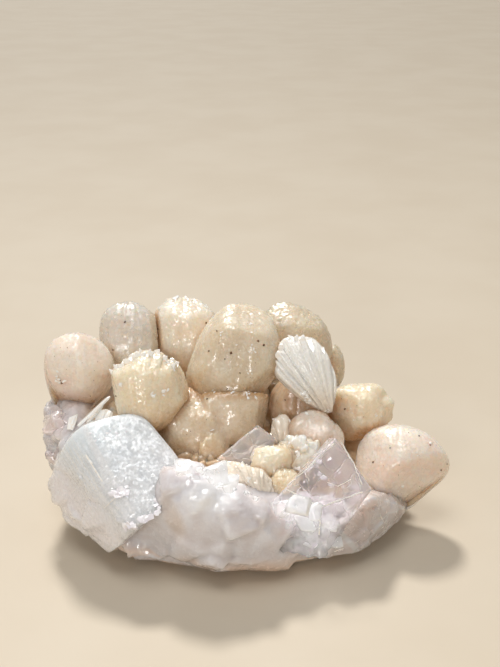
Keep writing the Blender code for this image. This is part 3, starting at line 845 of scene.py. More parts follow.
looks["clear"] = clear_look("clear_lilac", rgb(246, 240, 244), rgb(254, 253, 255), (0.88, 0.80, 0.85), 18.0, clear=0.72)
looks["shards"] = clear_look("clear_shards", rgb(242, 234, 232), rgb(252, 250, 250), (0.88, 0.81, 0.80), 20.0, rough=0.08, clear=0.72)
# White veils inside the clear crystal; the same white also makes the painted glint flakes on the slab.
looks["flakes"] = plain_look("veils_and_glint_flakes", rgb(255, 253, 255), rgb(242, 236, 242), 1.2, rough=0.18, Coat_Weight=0.5)
looks["specks"] = plain_look("dark_grains", rgb(70, 48, 30), rgb(120, 84, 52), 0.4, rough=0.5)
# White glossy tips; the same white also makes the painted highlight flakes.
looks["tips"] = plain_look("bright_tips", rgb(255, 254, 251), rgb(252, 244, 232), 0.8, rough=0.14, bump_mm=0.02, Coat_Weight=0.8, Coat_Roughness=0.04)

# ---------------------------------------------------------------- stilbite

rng = np.random.default_rng(7)
BIG, MEDIUM, SMALL = 44, 32, 24


def united(shapes, voxel=0.36, rounds=5):
    """One skin around overlapping crystals, softened where they meet."""
    points, faces = join(shapes)
    mesh = bpy.data.meshes.new("united")
    mesh.from_pydata(points.tolist(), [], faces.tolist())
    piece = bpy.data.objects.new("united", mesh)
    bpy.context.scene.collection.objects.link(piece)
    change = piece.modifiers.new("remesh", "REMESH")
    change.mode, change.voxel_size, change.adaptivity = "VOXEL", voxel, 0.0
    result = piece.evaluated_get(bpy.context.evaluated_depsgraph_get()).to_mesh()
    p = np.zeros(len(result.vertices) * 3)
    result.vertices.foreach_get("co", p)
    p = p.reshape(-1, 3)
    q = np.zeros(len(result.loops), np.int32)
    result.loops.foreach_get("vertex_index", q)
    q = q.reshape(-1, 4)
    bpy.data.objects.remove(piece)
    bpy.data.meshes.remove(mesh)
    for _ in range(rounds):
        total, count = np.zeros_like(p), np.zeros(len(p))
        for k in range(4):
            np.add.at(total, q[:, k], p[q[:, (k + 1) % 4]] + p[q[:, (k + 3) % 4]])
            np.add.at(count, q[:, k], 2)
        p = p + 0.5 * (total / count[:, None] - p)
    return p, q


def grown_together(name, parts, look, node, seed):
    """Crystals that run into each other, as one piece."""
    keys = tuple(part[0] for part in parts)
    shapes = [stilbite(key, n, k, druse=0.0, top=0.0, kin=keys, **settings) for key, n, k, settings in parts]
    points, quads = united(shapes)
    out = normals(points, quads)
    up = smooth(0.2, 0.8, out @ RISE)
    h = (0.04 + 0.22 * up) * facets(points, 1.4, seed, 0.55, 0.5) / 0.6 + 0.05 * noise(points, 1.0, seed + 1)
    near = nearest_gap(points, keys)
    # Painted shade mark: where the crystals meet others and low in the dish.
    painted_shade = np.clip(smooth(3.4, 0.2, near) + 0.6 * smooth(25.0, 20.0, points[:, 2]), 0, 1)
    return make(name, (points + out * h[:, None], quads), looks[look], node, marks={"painted_shade": painted_shade})


def grown(name, parts, look, node):
    """One piece of stilbite from its crystals: (key, n, seed, settings)."""
    for k, (key, n, seed, settings) in enumerate(parts):
        marks = []
        shape = stilbite(key, n, seed, marks=marks, **settings)
        make(name if k == 0 else f"stilbite_{key}_shape", shape, looks[look], None if k else node, marks={"painted_shade": marks[0]})


def skin_tree():
    points, faces = skins_joined()
    return BVHTree.FromPolygons(points.tolist(), faces)


def skins_joined():
    """Every stilbite skin made so far, in one list of faces."""
    points, faces, start = [], [], 0
    for p, f in skins:
        points.append(p)
        faces += (f + start).tolist()
        start += len(p)
    return np.concatenate(points), faces


def seated(tree, p, reach=3.5):
    """The nearest place on the skins, or None where they are too far."""
    place, _, _, far = tree.find_nearest(Vector(p.tolist()))
    return None if place is None or far > reach else np.array(place)


def sunk(tree, p, depth):
    """The point itself, or one no further than a depth outside the skin that it grows on."""
    p = np.asarray(p, float)
    place, way, _, far = tree.find_nearest(Vector(p.tolist()))
    place, way = np.array(place), np.array(way)
    return p if far <= depth or (p - place) @ way < 0 else place + (p - place) * (depth / far)


def seen_on(tree, p, reach=4.0):
    """Where the line of sight through p meets the skins, or None where it misses or lands elsewhere."""
    start = sight(250, 333.5)[0]
    way = (p - start) / np.linalg.norm(p - start)
    place = tree.ray_cast(Vector(start.tolist()), Vector(way.tolist()))[0]
    if place is None or np.linalg.norm(np.array(place) - p) > reach:
        return None
    return np.array(place)


def crowned(local, d, points):
    """Flat-topped plates that stand side by side along the upper edge."""
    step = fibres(local, (0.0, -16.0), 110, 5, 1.7, 0.0)
    edge = smooth(0.55, 0.80, d[:, 1]) * smooth(-0.45, 0.1, d[:, 2])
    return step * edge + 0.25 * fibres(local, (0.0, -16.0), 150, 6, 0.35) * smooth(0.0, 0.5, d[:, 2])


def knobbly(local, d, points):
    """Small rounded lobes along the right edge, and ridges that follow it."""
    a = np.degrees(np.arctan2(local[:, 1], local[:, 0]))
    lobes = sum(np.exp(-(((a - m) / 13.0) ** 2)) for m in (-42, -14, 16)) - 0.6
    edge = smooth(5.0, 8.0, np.hypot(local[:, 0], local[:, 1])) * smooth(-75, -55, a) * smooth(48, 30, a)
    rings = np.hypot(local[:, 0] + 6, local[:, 1])
    return 0.9 * lobes * edge + 0.03 * np.sin(rings * 2.6) * smooth(0.1, 0.6, d[:, 2]) * smooth(-2, 3, local[:, 1])


grown("stilbite_left_shape", [("left", BIG, 11, dict(creases=[(0.0, 2.2, -25, 0.45, 0.5), (0.0, -3.6, -12, 0.65, 1.0)]))], "left", "stilbite_left")
grown("stilbite_back_left_shape", [("back_left", BIG, 12, dict(ribs=0.14, flats=(0.90, 0.97)))], "back_left", "stilbite_back_left")
grown("stilbite_back_centre_shape", [("back_centre", BIG, 13, dict(top=0.28, cell=1.5, creases=[(-2.0, 2.0, -50, 0.25, 0.8)]))], "back_centre", "stilbite_back_centre")
grown("stilbite_mid_left_shape", [("mid_left", 52, 14, dict(druse=0.10, top=0.12, extra=crowned))], "mid_left", "stilbite_mid_left")
grown("stilbite_tall_shape", [("tall", 52, 15, dict(top=0.12, creases=[(0.0, 8.0, 174, 0.45, 0.8), (-6.5, 0.0, 252, 0.45, 0.5)]))], "tall", "stilbite_tall_centre")
grown_together("stilbite_low_shape", [
    ("low_left", BIG, 16, dict(fillet=3.0, creases=[(0.0, 5.0, 186, 0.5, 0.4)])),
    ("low_right", BIG, 17, dict(fillet=3.0, creases=[(0.0, 4.2, 174, 0.8, 0.3)])),
    ("low_bump", SMALL, 18, dict(fillet=3.0)),
], "low", "stilbite_low_centre", 216)
grown_together("stilbite_back_right_shape", [("back_right", BIG, 19, dict(fillet=3.0)), ("back_right_side", SMALL, 20, dict(fillet=3.0))], "back_right", "stilbite_back_right", 219)
grown("stilbite_right_shape", [("right", 50, 21, dict(druse=0.08, lumps=0.4, top=0.12, extra=knobbly))], "right", "stilbite_right")
grown("stilbite_far_right_shape", [("far_right", 52, 22, dict(druse=0.07, creases=[(0.0, 1.8, 8, 0.42, 0.5), (2.3, -4.6, 26, 0.75, 0.9)]))], "far_right", "stilbite_far_right")
grown("stilbite_rear_shape", [("rear", MEDIUM, 23, {})], "rear", "stilbite_rear")
grown("stilbite_root_shape", [("sheaf_root", MEDIUM, 24, dict(ribs=0.14, fillet=3.0))], "root", None)
grown("stilbite_knob_shape", [("knob_pink", MEDIUM, 25, dict(fillet=3.0, extra=lambda local, d, points: 0.8 * fibres(local, (1.0, -9.0), 60, 8, 0.5) * smooth(0.5, 2.5, local[:, 0])))], "knob_pink", None)
grown("stilbite_cluster_shape", [("knob_yellow", MEDIUM, 26, dict(druse=0.14, cell=1.2, fillet=2.4)), ("knob_front", MEDIUM, 28, dict(druse=0.16, cell=1.2, fillet=2.4))], "knobs", "stilbite_front_cluster")
grown("stilbite_white_knob", [("knob_white", MEDIUM, 27, dict(druse=0.40, top=0.4, cell=2.0, fillet=2.0))], "knob_white", None)


def sheafed(key, n, seed, apex, count, rise, ends, scallops=(), scallop=0.0, fillet=1.0, bulge=0.0):
    """A sheaf: a crystal whose blades fan out from its lower end and stop at different lengths."""
    points, quads, d, local = rounded(key, n, power=2.0)
    out = normals(points, quads)
    u, v = local[:, 0] - apex[0], local[:, 1] - apex[1]
    angle = np.degrees(np.arctan2(v, u))
    reach = np.hypot(d[:, 0], d[:, 1])
    h = fibres(local, apex, count, seed, rise, ends, reach)
    h += 0.8 * fibres(local, apex, count * 5, seed + 1, rise * 0.35)
    h *= 0.3 + 0.7 * smooth(0.12, 0.5, np.abs(d[:, 2]))
    if scallops:
        wave = np.max([np.exp(-(((angle - m) / w) ** 2)) for m, w in scallops], axis=0)
        tip = smooth(0.75, 1.0, reach)
        sideways = local[:, :1] * SIDE + local[:, 1:2] * RISE
        sideways /= np.linalg.norm(sideways, axis=1)[:, None] + 1e-9
        points = points + sideways * (scallop * (wave - 0.55) * tip)[:, None]
    # The third value returned is a painted shade mark, near other crystals.
    near = nearest_gap(points, (key,))
    points = points + out * h[:, None]
    return points, quads, np.clip(smooth(2.0, 0.0, near), 0, 1)


points, quads, painted_shade = sheafed("sheaf", 74, 31, (7.0, -14.0), 92, 0.85, 1.0, ((146, 9), (124, 8), (102, 8)), 1.1)
make("stilbite_sheaf_shape", (points, quads), looks["sheaf"], "stilbite_sheaf", marks={"painted_shade": painted_shade})
small = [
    sheafed("sheaf_small", 26, 32, (0.2, -5.0), 70, 0.45, 0.5, ((115, 12), (88, 9), (66, 10)), 0.5),
    sheafed("fan_front", 36, 33, (3.4, -6.5), 90, 0.55, 0.6, ((165, 9), (142, 8), (120, 8), (95, 8)), 0.7),
]
for name, (points, quads, painted_shade) in zip(("stilbite_small_sheaf_shape", "stilbite_fan_shape"), small):
    make(name, (points, quads), looks["sheaf"], None, marks={"painted_shade": painted_shade})


def blades_at(key, spots, length, width, seed, apex):
    """Single blades that stand out of a sheaf's end, at points of its outline plane."""
    r = np.random.default_rng(seed)
    middle = np.array(CRYSTALS[key][0])
    shapes = []
    for u, v, w in spots:
        way = np.array([u - apex[0], v - apex[1]])
        way /= np.linalg.norm(way)
        tip = middle + np.array([u, v, w]) @ AXES
        along = way[0] * SIDE + way[1] * RISE
        root = tip - along * length * r.uniform(0.8, 1.2)
        across = -way[1] * SIDE + way[0] * RISE + FACE * r.normal() * 0.4
        shapes.append(blade(root, tip, across, width * r.uniform(0.7, 1.3), width * 0.45, r.normal() * 0.3, 0.7))
    return shapes


def arc_spots(key, start, end, count, seed, over=0.25):
    r = np.random.default_rng(seed)
    reach = CRYSTALS[key][3]
    found = []
    for i in range(count):
        a = math.radians(start + (end - start) * (i + r.uniform(0, 1)) / count)
        k = float(periodic(reach, a)) + r.uniform(-0.9, over)
        found.append((k * math.cos(a), k * math.sin(a), r.uniform(-0.8, 2.4)))
    return found


ends = blades_at("sheaf", arc_spots("sheaf", 165, 50, 26, 51), 6.0, 1.3, 52, (7.0, -14.0))
ends += blades_at("fan_front", arc_spots("fan_front", 175, 95, 14, 53), 2.6, 1.0, 54, (3.4, -6.5))
ends += blades_at("sheaf_small", arc_spots("sheaf_small", 130, 50, 7, 55, 0.1), 2.2, 0.8, 56, (0.2, -5.0))
tree = skin_tree()
for points, quads in blades_at("mid_left", [(u, v, w * 0.8 + 1.0) for u, v, w in arc_spots("mid_left", 40, 150, 26, 57, 0.3)], 1.8, 1.2, 58, (0.0, -16.0)):
    place = seated(tree, points.mean(0))
    if place is not None:
        ends.append((points + place - points.mean(0), quads))
make("stilbite_blade_ends", join(ends), looks["tips"], None, flat=True)

# painted highlights: small white flakes put where wet glints are seen: crystal, x and y in the view, how many, spread
# and size in mm
glints = []
for key, px, py, count, spread, size in (
    ("back_centre", 176, 298, 9, 1.3, 0.65), ("back_centre", 190, 299, 7, 1.5, 0.5), ("back_centre", 206, 306, 5, 1.0, 0.3),
    ("mid_left", 112, 386, 3, 0.5, 0.45), ("mid_left", 121, 384, 3, 0.5, 0.5), ("mid_left", 153, 394, 4, 0.6, 0.4),
    ("mid_left", 164, 392, 4, 0.6, 0.5), ("mid_left", 174, 369, 4, 0.9, 0.4), ("mid_left", 170, 357, 3, 0.6, 0.4),
    ("low_right", 210, 393, 5, 1.1, 0.3), ("low_right", 233, 393, 4, 0.6, 0.35), ("low_right", 248, 394, 6, 0.9, 0.4), ("low_right", 256, 396, 4, 0.7, 0.35),
    ("low_bump", 212, 430, 1, 0.1, 0.9),
    ("left", 60, 379, 5, 0.9, 0.5), ("left", 57, 375, 3, 0.5, 0.4),
    ("tall", 250, 323, 5, 1.6, 0.3), ("tall", 251, 349, 6, 1.0, 0.3), ("tall", 246, 371, 4, 1.2, 0.28), ("tall", 221, 333, 3, 0.5, 0.3), ("tall", 236, 345, 2, 0.5, 0.25),
    ("back_right", 270, 304, 3, 0.7, 0.4), ("back_right", 285, 306, 3, 1.0, 0.3),
    ("sheaf", 304, 395, 8, 1.3, 0.55), ("sheaf", 309, 402, 5, 0.8, 0.5), ("sheaf", 287, 352, 4, 0.9, 0.5), ("sheaf", 328, 411, 3, 0.6, 0.5),
    ("right", 354, 416, 4, 1.2, 0.25), ("right", 377, 416, 5, 1.0, 0.25), ("right", 352, 385, 3, 0.8, 0.3),
    ("knob_white", 298, 455, 5, 0.8, 0.7), ("knob_white", 297, 468, 3, 0.6, 0.6), ("knob_pink", 307, 413, 2, 0.4, 0.5),
    ("far_right", 401, 488, 3, 0.8, 0.3), ("far_right", 430, 443, 3, 0.5, 0.4), ("far_right", 400, 440, 6, 2.6, 0.2), ("far_right", 412, 455, 6, 2.6, 0.2),
    ("knob_yellow", 262, 455, 5, 1.4, 0.25), ("fan_front", 247, 480, 4, 1.0, 0.4),
):
    middle, way = spot(key, px, py)
    turned = basis(way, SIDE + 0.01 * RISE)
    for _ in range(count):
        p = seen_on(tree, middle + turned[:, :2] @ (rng.normal(size=2) * spread * 0.6))
        s = size * rng.uniform(0.6, 1.3)
        if p is None:
            continue
        tilt = basis(way + rng.normal(size=3) * 0.25, SIDE + rng.normal(size=3) * 0.6)
        glints.append(lump(rng, p - way * s * 0.12, (s * 1.2, s * 0.75, s * 0.32), 4, 7, 14.0, tilt))
make("stilbite_painted_glints", join(glints), looks["tips"], None)

# ---------------------------------------------------------------- apophyllite


def crust_shape(around=280, rows=96):
    angle = np.linspace(0, 2 * math.pi, around, endpoint=False)
    c, s = np.cos(angle), np.sin(angle)
    swell = (np.abs(c) ** PLAN_POWER + np.abs(s) ** PLAN_POWER) ** (-1 / PLAN_POWER)
    rim, dent = periodic(RIM, angle), periodic(DENT, angle)
    knots = [np.tile([CRUST_X, CRUST_Y, 0.0], (around, 1))]
    for share_, left, right, front, back in CRUST_RINGS:
        depth = np.interp(share_, DENT_SHARES, (0.0, 1.0))
        reach = swell * (1 - (1 - dent) * depth)
        x = CRUST_X + np.where(c > 0, right, left) * c * reach
        y = CRUST_Y + np.where(s > 0, back, front) * s * reach
        knots.append(np.stack([x, y, share_ * rim], 1))
    for row, pull in zip(knots[-2:], FLOOR_PULL):
        row[:, 2] += pull * (FLOOR - row[:, 2])
    knots.append(np.tile([CRUST_X, CRUST_Y, FLOOR], (around, 1)))
    k = np.array(knots)
    k = np.concatenate([k[:1], k, k[-1:]])
    t = np.linspace(0, len(knots) - 1, rows)
    dense = []
    for value in t[1:-1]:
        i = min(int(value), len(knots) - 2)
        f = value - i
        p0, p1, p2, p3 = k[i], k[i + 1], k[i + 2], k[i + 3]
        dense.append(p1 + 0.5 * f * (p2 - p0 + f * (2 * p0 - 5 * p1 + 4 * p2 - p3 + f * (3 * (p1 - p2) + p3 - p0))))
    count = len(dense)
    points = np.concatenate([*dense, k[:1, 0], k[-1:, 0]])
    i = np.arange(around)
    j = (i + 1) % around
    faces = []
    for r in range(count - 1):
        a, b = r * around, (r + 1) * around
        faces += [np.stack([a + i, a + j, b + j], 1), np.stack([a + i, b + j, b + i], 1)]
    foot, top = count * around, count * around + 1
    faces.append(np.stack([j, i, np.full(around, foot)], 1))
    last = (count - 1) * around
    faces.append(np.stack([last + i, last + j, np.full(around, top)], 1))
    return points, np.concatenate(faces), t[1:-1].repeat(around)


points, faces, level = crust_shape()
level = np.concatenate([level, [0.0, 11.0]])
out = normals(points, faces)
x, y, z = points.T
turn = np.degrees(np.arctan2(y - CRUST_Y, x - CRUST_X)) % 360
front = smooth(215, 235, turn) * smooth(330, 305, turn)
wall = smooth(1.5, 3.0, level) * smooth(9.0, 7.5, level)
rimward = smooth(5.4, 6.6, level) * smooth(10.2, 9.0, level)
dish = smooth(8.3, 9.3, level)
h = 0.35 * fbm(points, 11.0, 51, 2) * wall
h += facets(points, 9.0, 152, 0.20, 0.10, 0.02) * wall
h += facets(points, 7.5, 53, 0.32, 0.18, 0.02) * wall * (1 - 0.95 * front)
h += facets(points, 2.4, 153, 0.30, 0.25, 0.05) * (0.15 + 0.25 * rimward) * wall * (1 - 0.85 * front)
h += facets(points, 3.2, 54, 0.3, 0.2, 0.03) * rimward * smooth(232, 245, turn) * smooth(300, 262, turn)
h += 0.8 * fbm(points, 4.0, 55, 3) * dish
h *= smooth(0.2, 1.5, z)
points = points + out * h[:, None]
points[:, 2] = np.where(level < 1.0, 0.0, np.maximum(points[:, 2], 0.0))
near, second, _, _ = cells(points + 0.6 * np.stack([noise(points, 2.0, s) for s in (1, 2, 3)], 1), 9.0, 152)
# Whitening mark: whitened edges between the wall's facets, and a painted highlight, a white glint spot on the front
# wall below the rim lumps.
wear_and_glint = 0.45 * smooth(0.45, 0.0, second - near) * wall
wear_and_glint += 0.9 * np.exp(-(((x + 9) / 7.5) ** 2 + ((z - 24.5) / 4.0) ** 2)) * (y < -20)
crust_tree = BVHTree.FromPolygons(points.tolist(), faces.tolist())
make("apophyllite_crust_shape", (points, faces), looks["crust"], "apophyllite_crust", marks={"wear_and_glint": wear_and_glint})


# Painted highlight lines: the mark whitens the edges between a block's faces.
def edge_glint(points, middle, n_i, h_i, band=0.35):
    """1 on the edges between a block's faces, 0 away from them."""
    d = points - middle
    r = np.linalg.norm(d, axis=1)
    g = np.clip((d / r[:, None]) @ n_i.T, 1e-6, None) / h_i
    g = np.sort(g, axis=1)
    return smooth(band, 0.0, (g[:, -1] - g[:, -2]) / g[:, -1] * 12.0)


def faceted(key, n, sharp):
    points, quads = block(BLOCKS[key], n, sharp)
    return points, quads, normals(points, quads), edge_glint(points, *planes_of(BLOCKS[key]))


points, quads, out, wear_and_glint = faceted("rim_left", 62, 46.0)
x, y, z = points.T
lower = smooth(24.0, 16.0, z + 0.35 * (x + 30))
# Painted highlight: a glint spot on the slab's face, whitened through the mark and given small facets.
bright = np.exp(-(((x + 31) / 5.0) ** 2 + ((z - 23.5) / 2.6) ** 2))
h = 0.20 * fbm(points, 9.0, 61, 2)
h += facets(points, 8.0, 62, 0.16, 0.08, 0.03) * lower
h += facets(points, 1.5, 63, 0.35, 0.3) * (0.05 + 0.55 * bright + 0.25 * lower * smooth(-32, -26, x))
lines = points @ np.array([0.70, 0.0, 0.72])
h += 0.07 * np.sin(lines * 5.2 + 2.0 * noise(points, 6.0, 65)) * smooth(-33, -38, x) * smooth(33, 28, z)
crack = np.abs((x + 39.0) * 0.62 + (z - 26.0) * 0.55 + 0.5 * noise(points, 3.0, 66))
inner = smooth(0.55, 0.1, crack) * smooth(19.5, 22.0, z) * smooth(31.0, 28.0, z)
# Whitening: painted highlight lines on the edges, the painted glint spot, and the bright inner crack.
wear_and_glint = 0.7 * wear_and_glint + 0.8 * bright + 0.8 * inner
make("apophyllite_slab_shape", (points + out * (h - 0.12 * inner)[:, None], quads), looks["slab"], "apophyllite_rim_left", marks={"wear_and_glint": wear_and_glint})

points, quads, out, wear_and_glint = faceted("rim_right", 50, 60.0)
x, y, z = points.T
broken = smooth(19.5, 15.0, z + 0.2 * (x - 10))
h = 0.10 * fbm(points, 6.0, 71, 2) + facets(points, 2.6, 72, 0.30, 0.28) * broken
h += facets(points, 1.2, 73, 0.3, 0.3) * (0.05 + 0.30 * broken)
clear_piece = make("apophyllite_clear_shape", (points + out * h[:, None], quads), looks["clear"], "apophyllite_rim_right", marks={"wear_and_glint": wear_and_glint})

points, quads, out, wear_and_glint = faceted("blade", 28, 50.0)
h = 0.10 * fbm(points, 4.0, 81, 3) + 0.12 * facets(points, 1.4, 82, 0.3, 0.3)
blade_piece = make("apophyllite_blade_shape", (points + out * h[:, None], quads), looks["shards"], "apophyllite_blade", marks={"wear_and_glint": wear_and_glint})

low_blocks, low_wear_and_glint = [], []
for key, n, seed in (("rim_right_low", 44, 91), ("rim_far_left", 38, 92)):
    points, quads, out, wear_and_glint = faceted(key, n, 56.0)
    h = 0.12 * fbm(points, 7.0, seed, 2) + facets(points, 5.0, seed + 1, 0.16, 0.12, 0.04)
    h += facets(points, 1.8, seed + 3, 0.3, 0.3) * (0.6 if key == "rim_far_left" else 0.05)
    h *= smooth(0.2, 2.0, points[:, 2])
    points = points + out * h[:, None]
    points[:, 2] = np.maximum(points[:, 2], 0.05)
    low_blocks.append((points, quads))
    low_wear_and_glint.append(wear_and_glint)
make("apophyllite_low_blocks", join(low_blocks), looks["facet"], None, marks={"wear_and_glint": np.concatenate(low_wear_and_glint)})


def block_spot(key, px, py, lift=0.0):
    """Where a line of sight meets the front of a block, and the way that face looks."""
    middle, n_i, h_i = planes_of(BLOCKS[key])
    start, way = sight(px, py)
    fall = n_i @ way
    t = np.where(fall < -1e-6, (h_i - n_i @ (start - middle)) / np.where(fall < -1e-6, fall, 1.0), -1.0)
    return start + way * t.max() + n_i[t.argmax()] * lift, n_i[t.argmax()]


def scar(key, path, width, seed, thick=0.16, rough=0.25):
    """A bright crack that shows along a block's face: a chain of thin, uneven slivers."""
    r = np.random.default_rng(seed)
    shapes = []
    for (ax, ay), (bx, by) in zip(path, path[1:]):
        count = max(2, int(math.hypot(bx - ax, by - ay) / 5))
        for i in range(count):
            t0, t1 = i / count, (i + 1.15) / count
            a, way = block_spot(key, ax + (bx - ax) * t0 + r.normal() * rough, ay + (by - ay) * t0 + r.normal() * rough, 0.02)
            b, _ = block_spot(key, ax + (bx - ax) * t1 + r.normal() * rough, ay + (by - ay) * t1 + r.normal() * rough, 0.02)
            if np.linalg.norm(b - a) > 6:
                continue
            shapes.append(blade(a, b, np.cross(b - a, way), width * r.uniform(0.5, 1.3), thick, r.normal() * 0.3, 0.6))
    return shapes


scars = scar("rim_right", [(286, 489), (303, 498), (318, 506)], 0.45, 1) + scar("rim_right", [(319, 508), (340, 500), (362, 492)], 0.35, 2)
scars += scar("rim_right", [(286, 486), (308, 468), (334, 444)], 0.3, 3) + scar("rim_right", [(341, 442), (353, 462), (362, 484)], 0.3, 4)
scars += scar("rim_right", [(327, 482), (338, 486), (350, 480)], 0.16, 6)
scars += scar("rim_right", [(318, 509), (320, 522), (319, 534)], 0.4, 8)
scars += scar("rim_right_low", [(372, 492), (384, 524), (352, 545), (335, 551)], 0.3, 9)
scars += scar("rim_left", [(86, 455), (94, 468), (102, 481)], 0.55, 10, 0.2) + scar("rim_left", [(104, 508), (114, 499), (122, 492)], 0.3, 11)
# Painted highlights on the slab: small white flakes where glints are seen: x and y in the view, spread in x and y, how
# many, and size in mm.
patch = []
for cx, cy, sx, sy, count, size in (
    (120, 492, 7, 3.5, 22, 0.55), (150, 470, 20, 7, 26, 0.28), (131, 526, 6, 2, 8, 0.5), (146, 519, 7, 2, 10, 0.5), (157, 505, 2, 6, 10, 0.5), (168, 492, 6, 2, 8, 0.5),
    (115, 435, 16, 9, 26, 0.2), (92, 506, 2, 2, 2, 0.4),
):
    for _ in range(count):
        p, way = block_spot("rim_left", cx + rng.normal() * sx * 0.6, cy + rng.normal() * sy * 0.6)
        s_ = size * rng.uniform(0.5, 1.3)
        tilt = basis(way + rng.normal(size=3) * 0.14, SIDE + rng.normal(size=3) * 0.6)
        patch.append(lump(rng, p - way * s_ * 0.12, (s_ * 1.7, s_ * 1.1, s_ * 0.22), 4, 7, 14.0, tilt))
make("apophyllite_scars", join(scars), looks["tips"], None, flat=True)
make("apophyllite_glint_flakes", join(patch), looks["flakes"], None, flat=True)


def inside(points, corners, margin):
    middle, n_i, h_i = planes_of(corners)
    return ((points - middle) @ n_i.T < h_i - margin).all(1)


# veils, cracks and bubbles inside the clear crystal
flakes = []
low, high = np.min(BLOCKS["rim_right"], 0), np.max(BLOCKS["rim_right"], 0)
face_way = np.array([0.15, -0.815, 0.56])
while len(flakes) < 130:
    p = rng.uniform(low, high)
    if not inside(p[None], BLOCKS["rim_right"], 0.5)[0]:
        continue
    if p[1] > -19 or rng.uniform() > 0.25 + 0.75 * float(smooth(24, 14, p[2])):
        continue
    way = face_way + rng.normal(size=3) * 0.5
    m = basis(way, np.cross(way, rng.normal(size=3)))
    if rng.uniform() < 0.35:
        size = rng.uniform(0.15, 0.35)
        flakes.append(lump(rng, p, (size, size, size * 0.7), 4, 6, 6.0))
        continue
    size = rng.uniform(0.4, 1.3)
    d, quads = ball(5)
    q = d * np.array([size, size * rng.uniform(0.15, 0.7), 0.04])
    q[:, 2] += 0.25 * size * noise(q * 1.0 + p, 1.4, 5)
    flakes.append((p + q @ m.T, quads))
make("apophyllite_inner_veils", join(flakes), looks["flakes"], None)

# the broken white foot of the clear crystal
broken = []
for px, py, a, b in (
    (283, 508, 3.0, 2.4), (292, 520, 3.6, 3.0), (305, 518, 3.6, 3.2), (299, 506, 3.0, 2.4), (312, 529, 2.8, 2.4), (288, 533, 2.8, 2.2),
    (302, 537, 2.8, 1.8), (277, 518, 2.0, 2.0), (315, 512, 2.0, 2.2), (329, 522, 2.0, 2.2), (326, 533, 2.2, 1.6), (278, 545, 2.0, 1.4),
    (296, 545, 2.6, 1.6), (309, 545, 2.6, 1.6), (320, 541, 2.4, 1.6), (286, 541, 2.4, 1.8), (303, 528, 2.6, 2.2), (333, 543, 2.0, 1.4),
):
    p = seen_at(px, py, -30.6 + 0.08 * abs(px - 300) / 2.0)
    broken.append(lump(rng, p, (a, 1.5, b), 14, 9, 16.0, basis(face_way + rng.normal(size=3) * 0.12, np.array([1, 0, 0]) + rng.normal(size=3) * 0.3)[:, [0, 2, 1]]))
marks = {"wear_and_glint": np.concatenate([0.35 + 0.4 * np.abs(noise(p, 1.4, 5)) for p, _ in broken])}
make("apophyllite_broken_foot", join(broken), looks["lumps"], None, marks=marks)

# glassy lumps along the front rim: x and y in the view, width, height and depth in mm
lumps = []
for px, py, a, b, c in (
    (190, 472, 3.4, 2.8, 2.4), (201, 481, 3.6, 2.4, 2.2), (215, 473, 3.0, 2.6, 2.2), (203, 493, 4.6, 2.4, 1.8), (190, 489, 2.6, 1.8, 1.6),
    (217, 487, 2.8, 2.4, 1.8), (228, 483, 2.4, 2.0, 1.8), (229, 492, 2.6, 1.8, 1.6), (240, 499, 2.4, 1.6, 1.4), (182, 462, 1.6, 1.2, 1.2),
    (180, 477, 2.0, 1.6, 1.2), (250, 503, 2.0, 1.4, 1.2), (214, 500, 2.4, 1.4, 1.2), (236, 490, 1.6, 1.4, 1.2),
):
    p = sunk(crust_tree, seen_at(px, py, -28.5 - 0.02 * (px - 180)), 0.5 * min(a, b, c))
    lumps.append(lump(rng, p, (a, c, b), 14, 9, 16.0, basis((0, 0.3, 1.0) + rng.normal(size=3) * 0.15, (1, 0, 0) + rng.normal(size=3) * 0.25)))
for _ in range(20):
    px = rng.uniform(176, 262)
    py = 468 + 0.42 * (px - 176) + rng.normal() * 7.0
    p = seen_at(px, py, -30.2 - 0.02 * (px - 180) + rng.uniform(-0.4, 0.6))
    size = rng.uniform(0.35, 0.9)
    p = sunk(crust_tree, p, 0.4 * size)
    lumps.append(lump(rng, p, (size * 1.2, size * 0.8, size), 6, 7, 18.0))
marks = {"wear_and_glint": np.concatenate([0.2 + 0.5 * np.abs(noise(p, 2.0, 5)) for p, _ in lumps])}
make("apophyllite_rim_lumps", join(lumps), looks["lumps"], None, marks=marks)

shards = []
for i in range(16):
    p = np.array([-50.4 + rng.uniform(0, 5.5), -7.5 + rng.uniform(0, 8.0), rng.uniform(13.0, 30.0)])
    p[1] -= 0.12 * (p[0] + 50.4) ** 1.2
    size = rng.uniform(1.4, 3.2)
    points, quads = lump(rng, p, (size * 0.7, size * 0.7, size * 1.6), 9, 8, 26.0)
    points[:, 0] += max(0.0, -51.8 - points[:, 0].min())
    shards.append((points, quads))
make("apophyllite_shards", join(shards), looks["shard"], None, marks={"wear_and_glint": np.concatenate([0.25 + 0.4 * np.abs(noise(p, 1.5, 9)) for p, _ in shards])})

edge_blades = [
    blade(seen_at(78, 426, -13.5), seen_at(109, 397, -9.0), (0.3, -0.8, 0.4), 1.6, 0.8, 0.4),
    blade(seen_at(84, 428, -12.5), seen_at(103, 404, -9.0), (0.5, -0.6, 0.3), 1.6, 0.6, -0.4),
    blade(seen_at(99, 424, -12.0), seen_at(103, 410, -9.5), (0.9, -0.3, 0.2), 3.0, 1.6, 0.2),
    blade(seen_at(106, 421, -12.0), seen_at(110, 411, -9.5), (0.9, -0.3, 0.2), 2.2, 1.4, -0.3),
    blade(seen_at(70, 430, -11.0), seen_at(74, 416, -8.5), (0.8, -0.5, 0.1), 2.2, 1.2, 0.5),
]
make("stilbite_edge_blades", join(edge_blades), looks["tips"], None, flat=True)

# ---------------------------------------------------------------- small stilbite that fills the dish

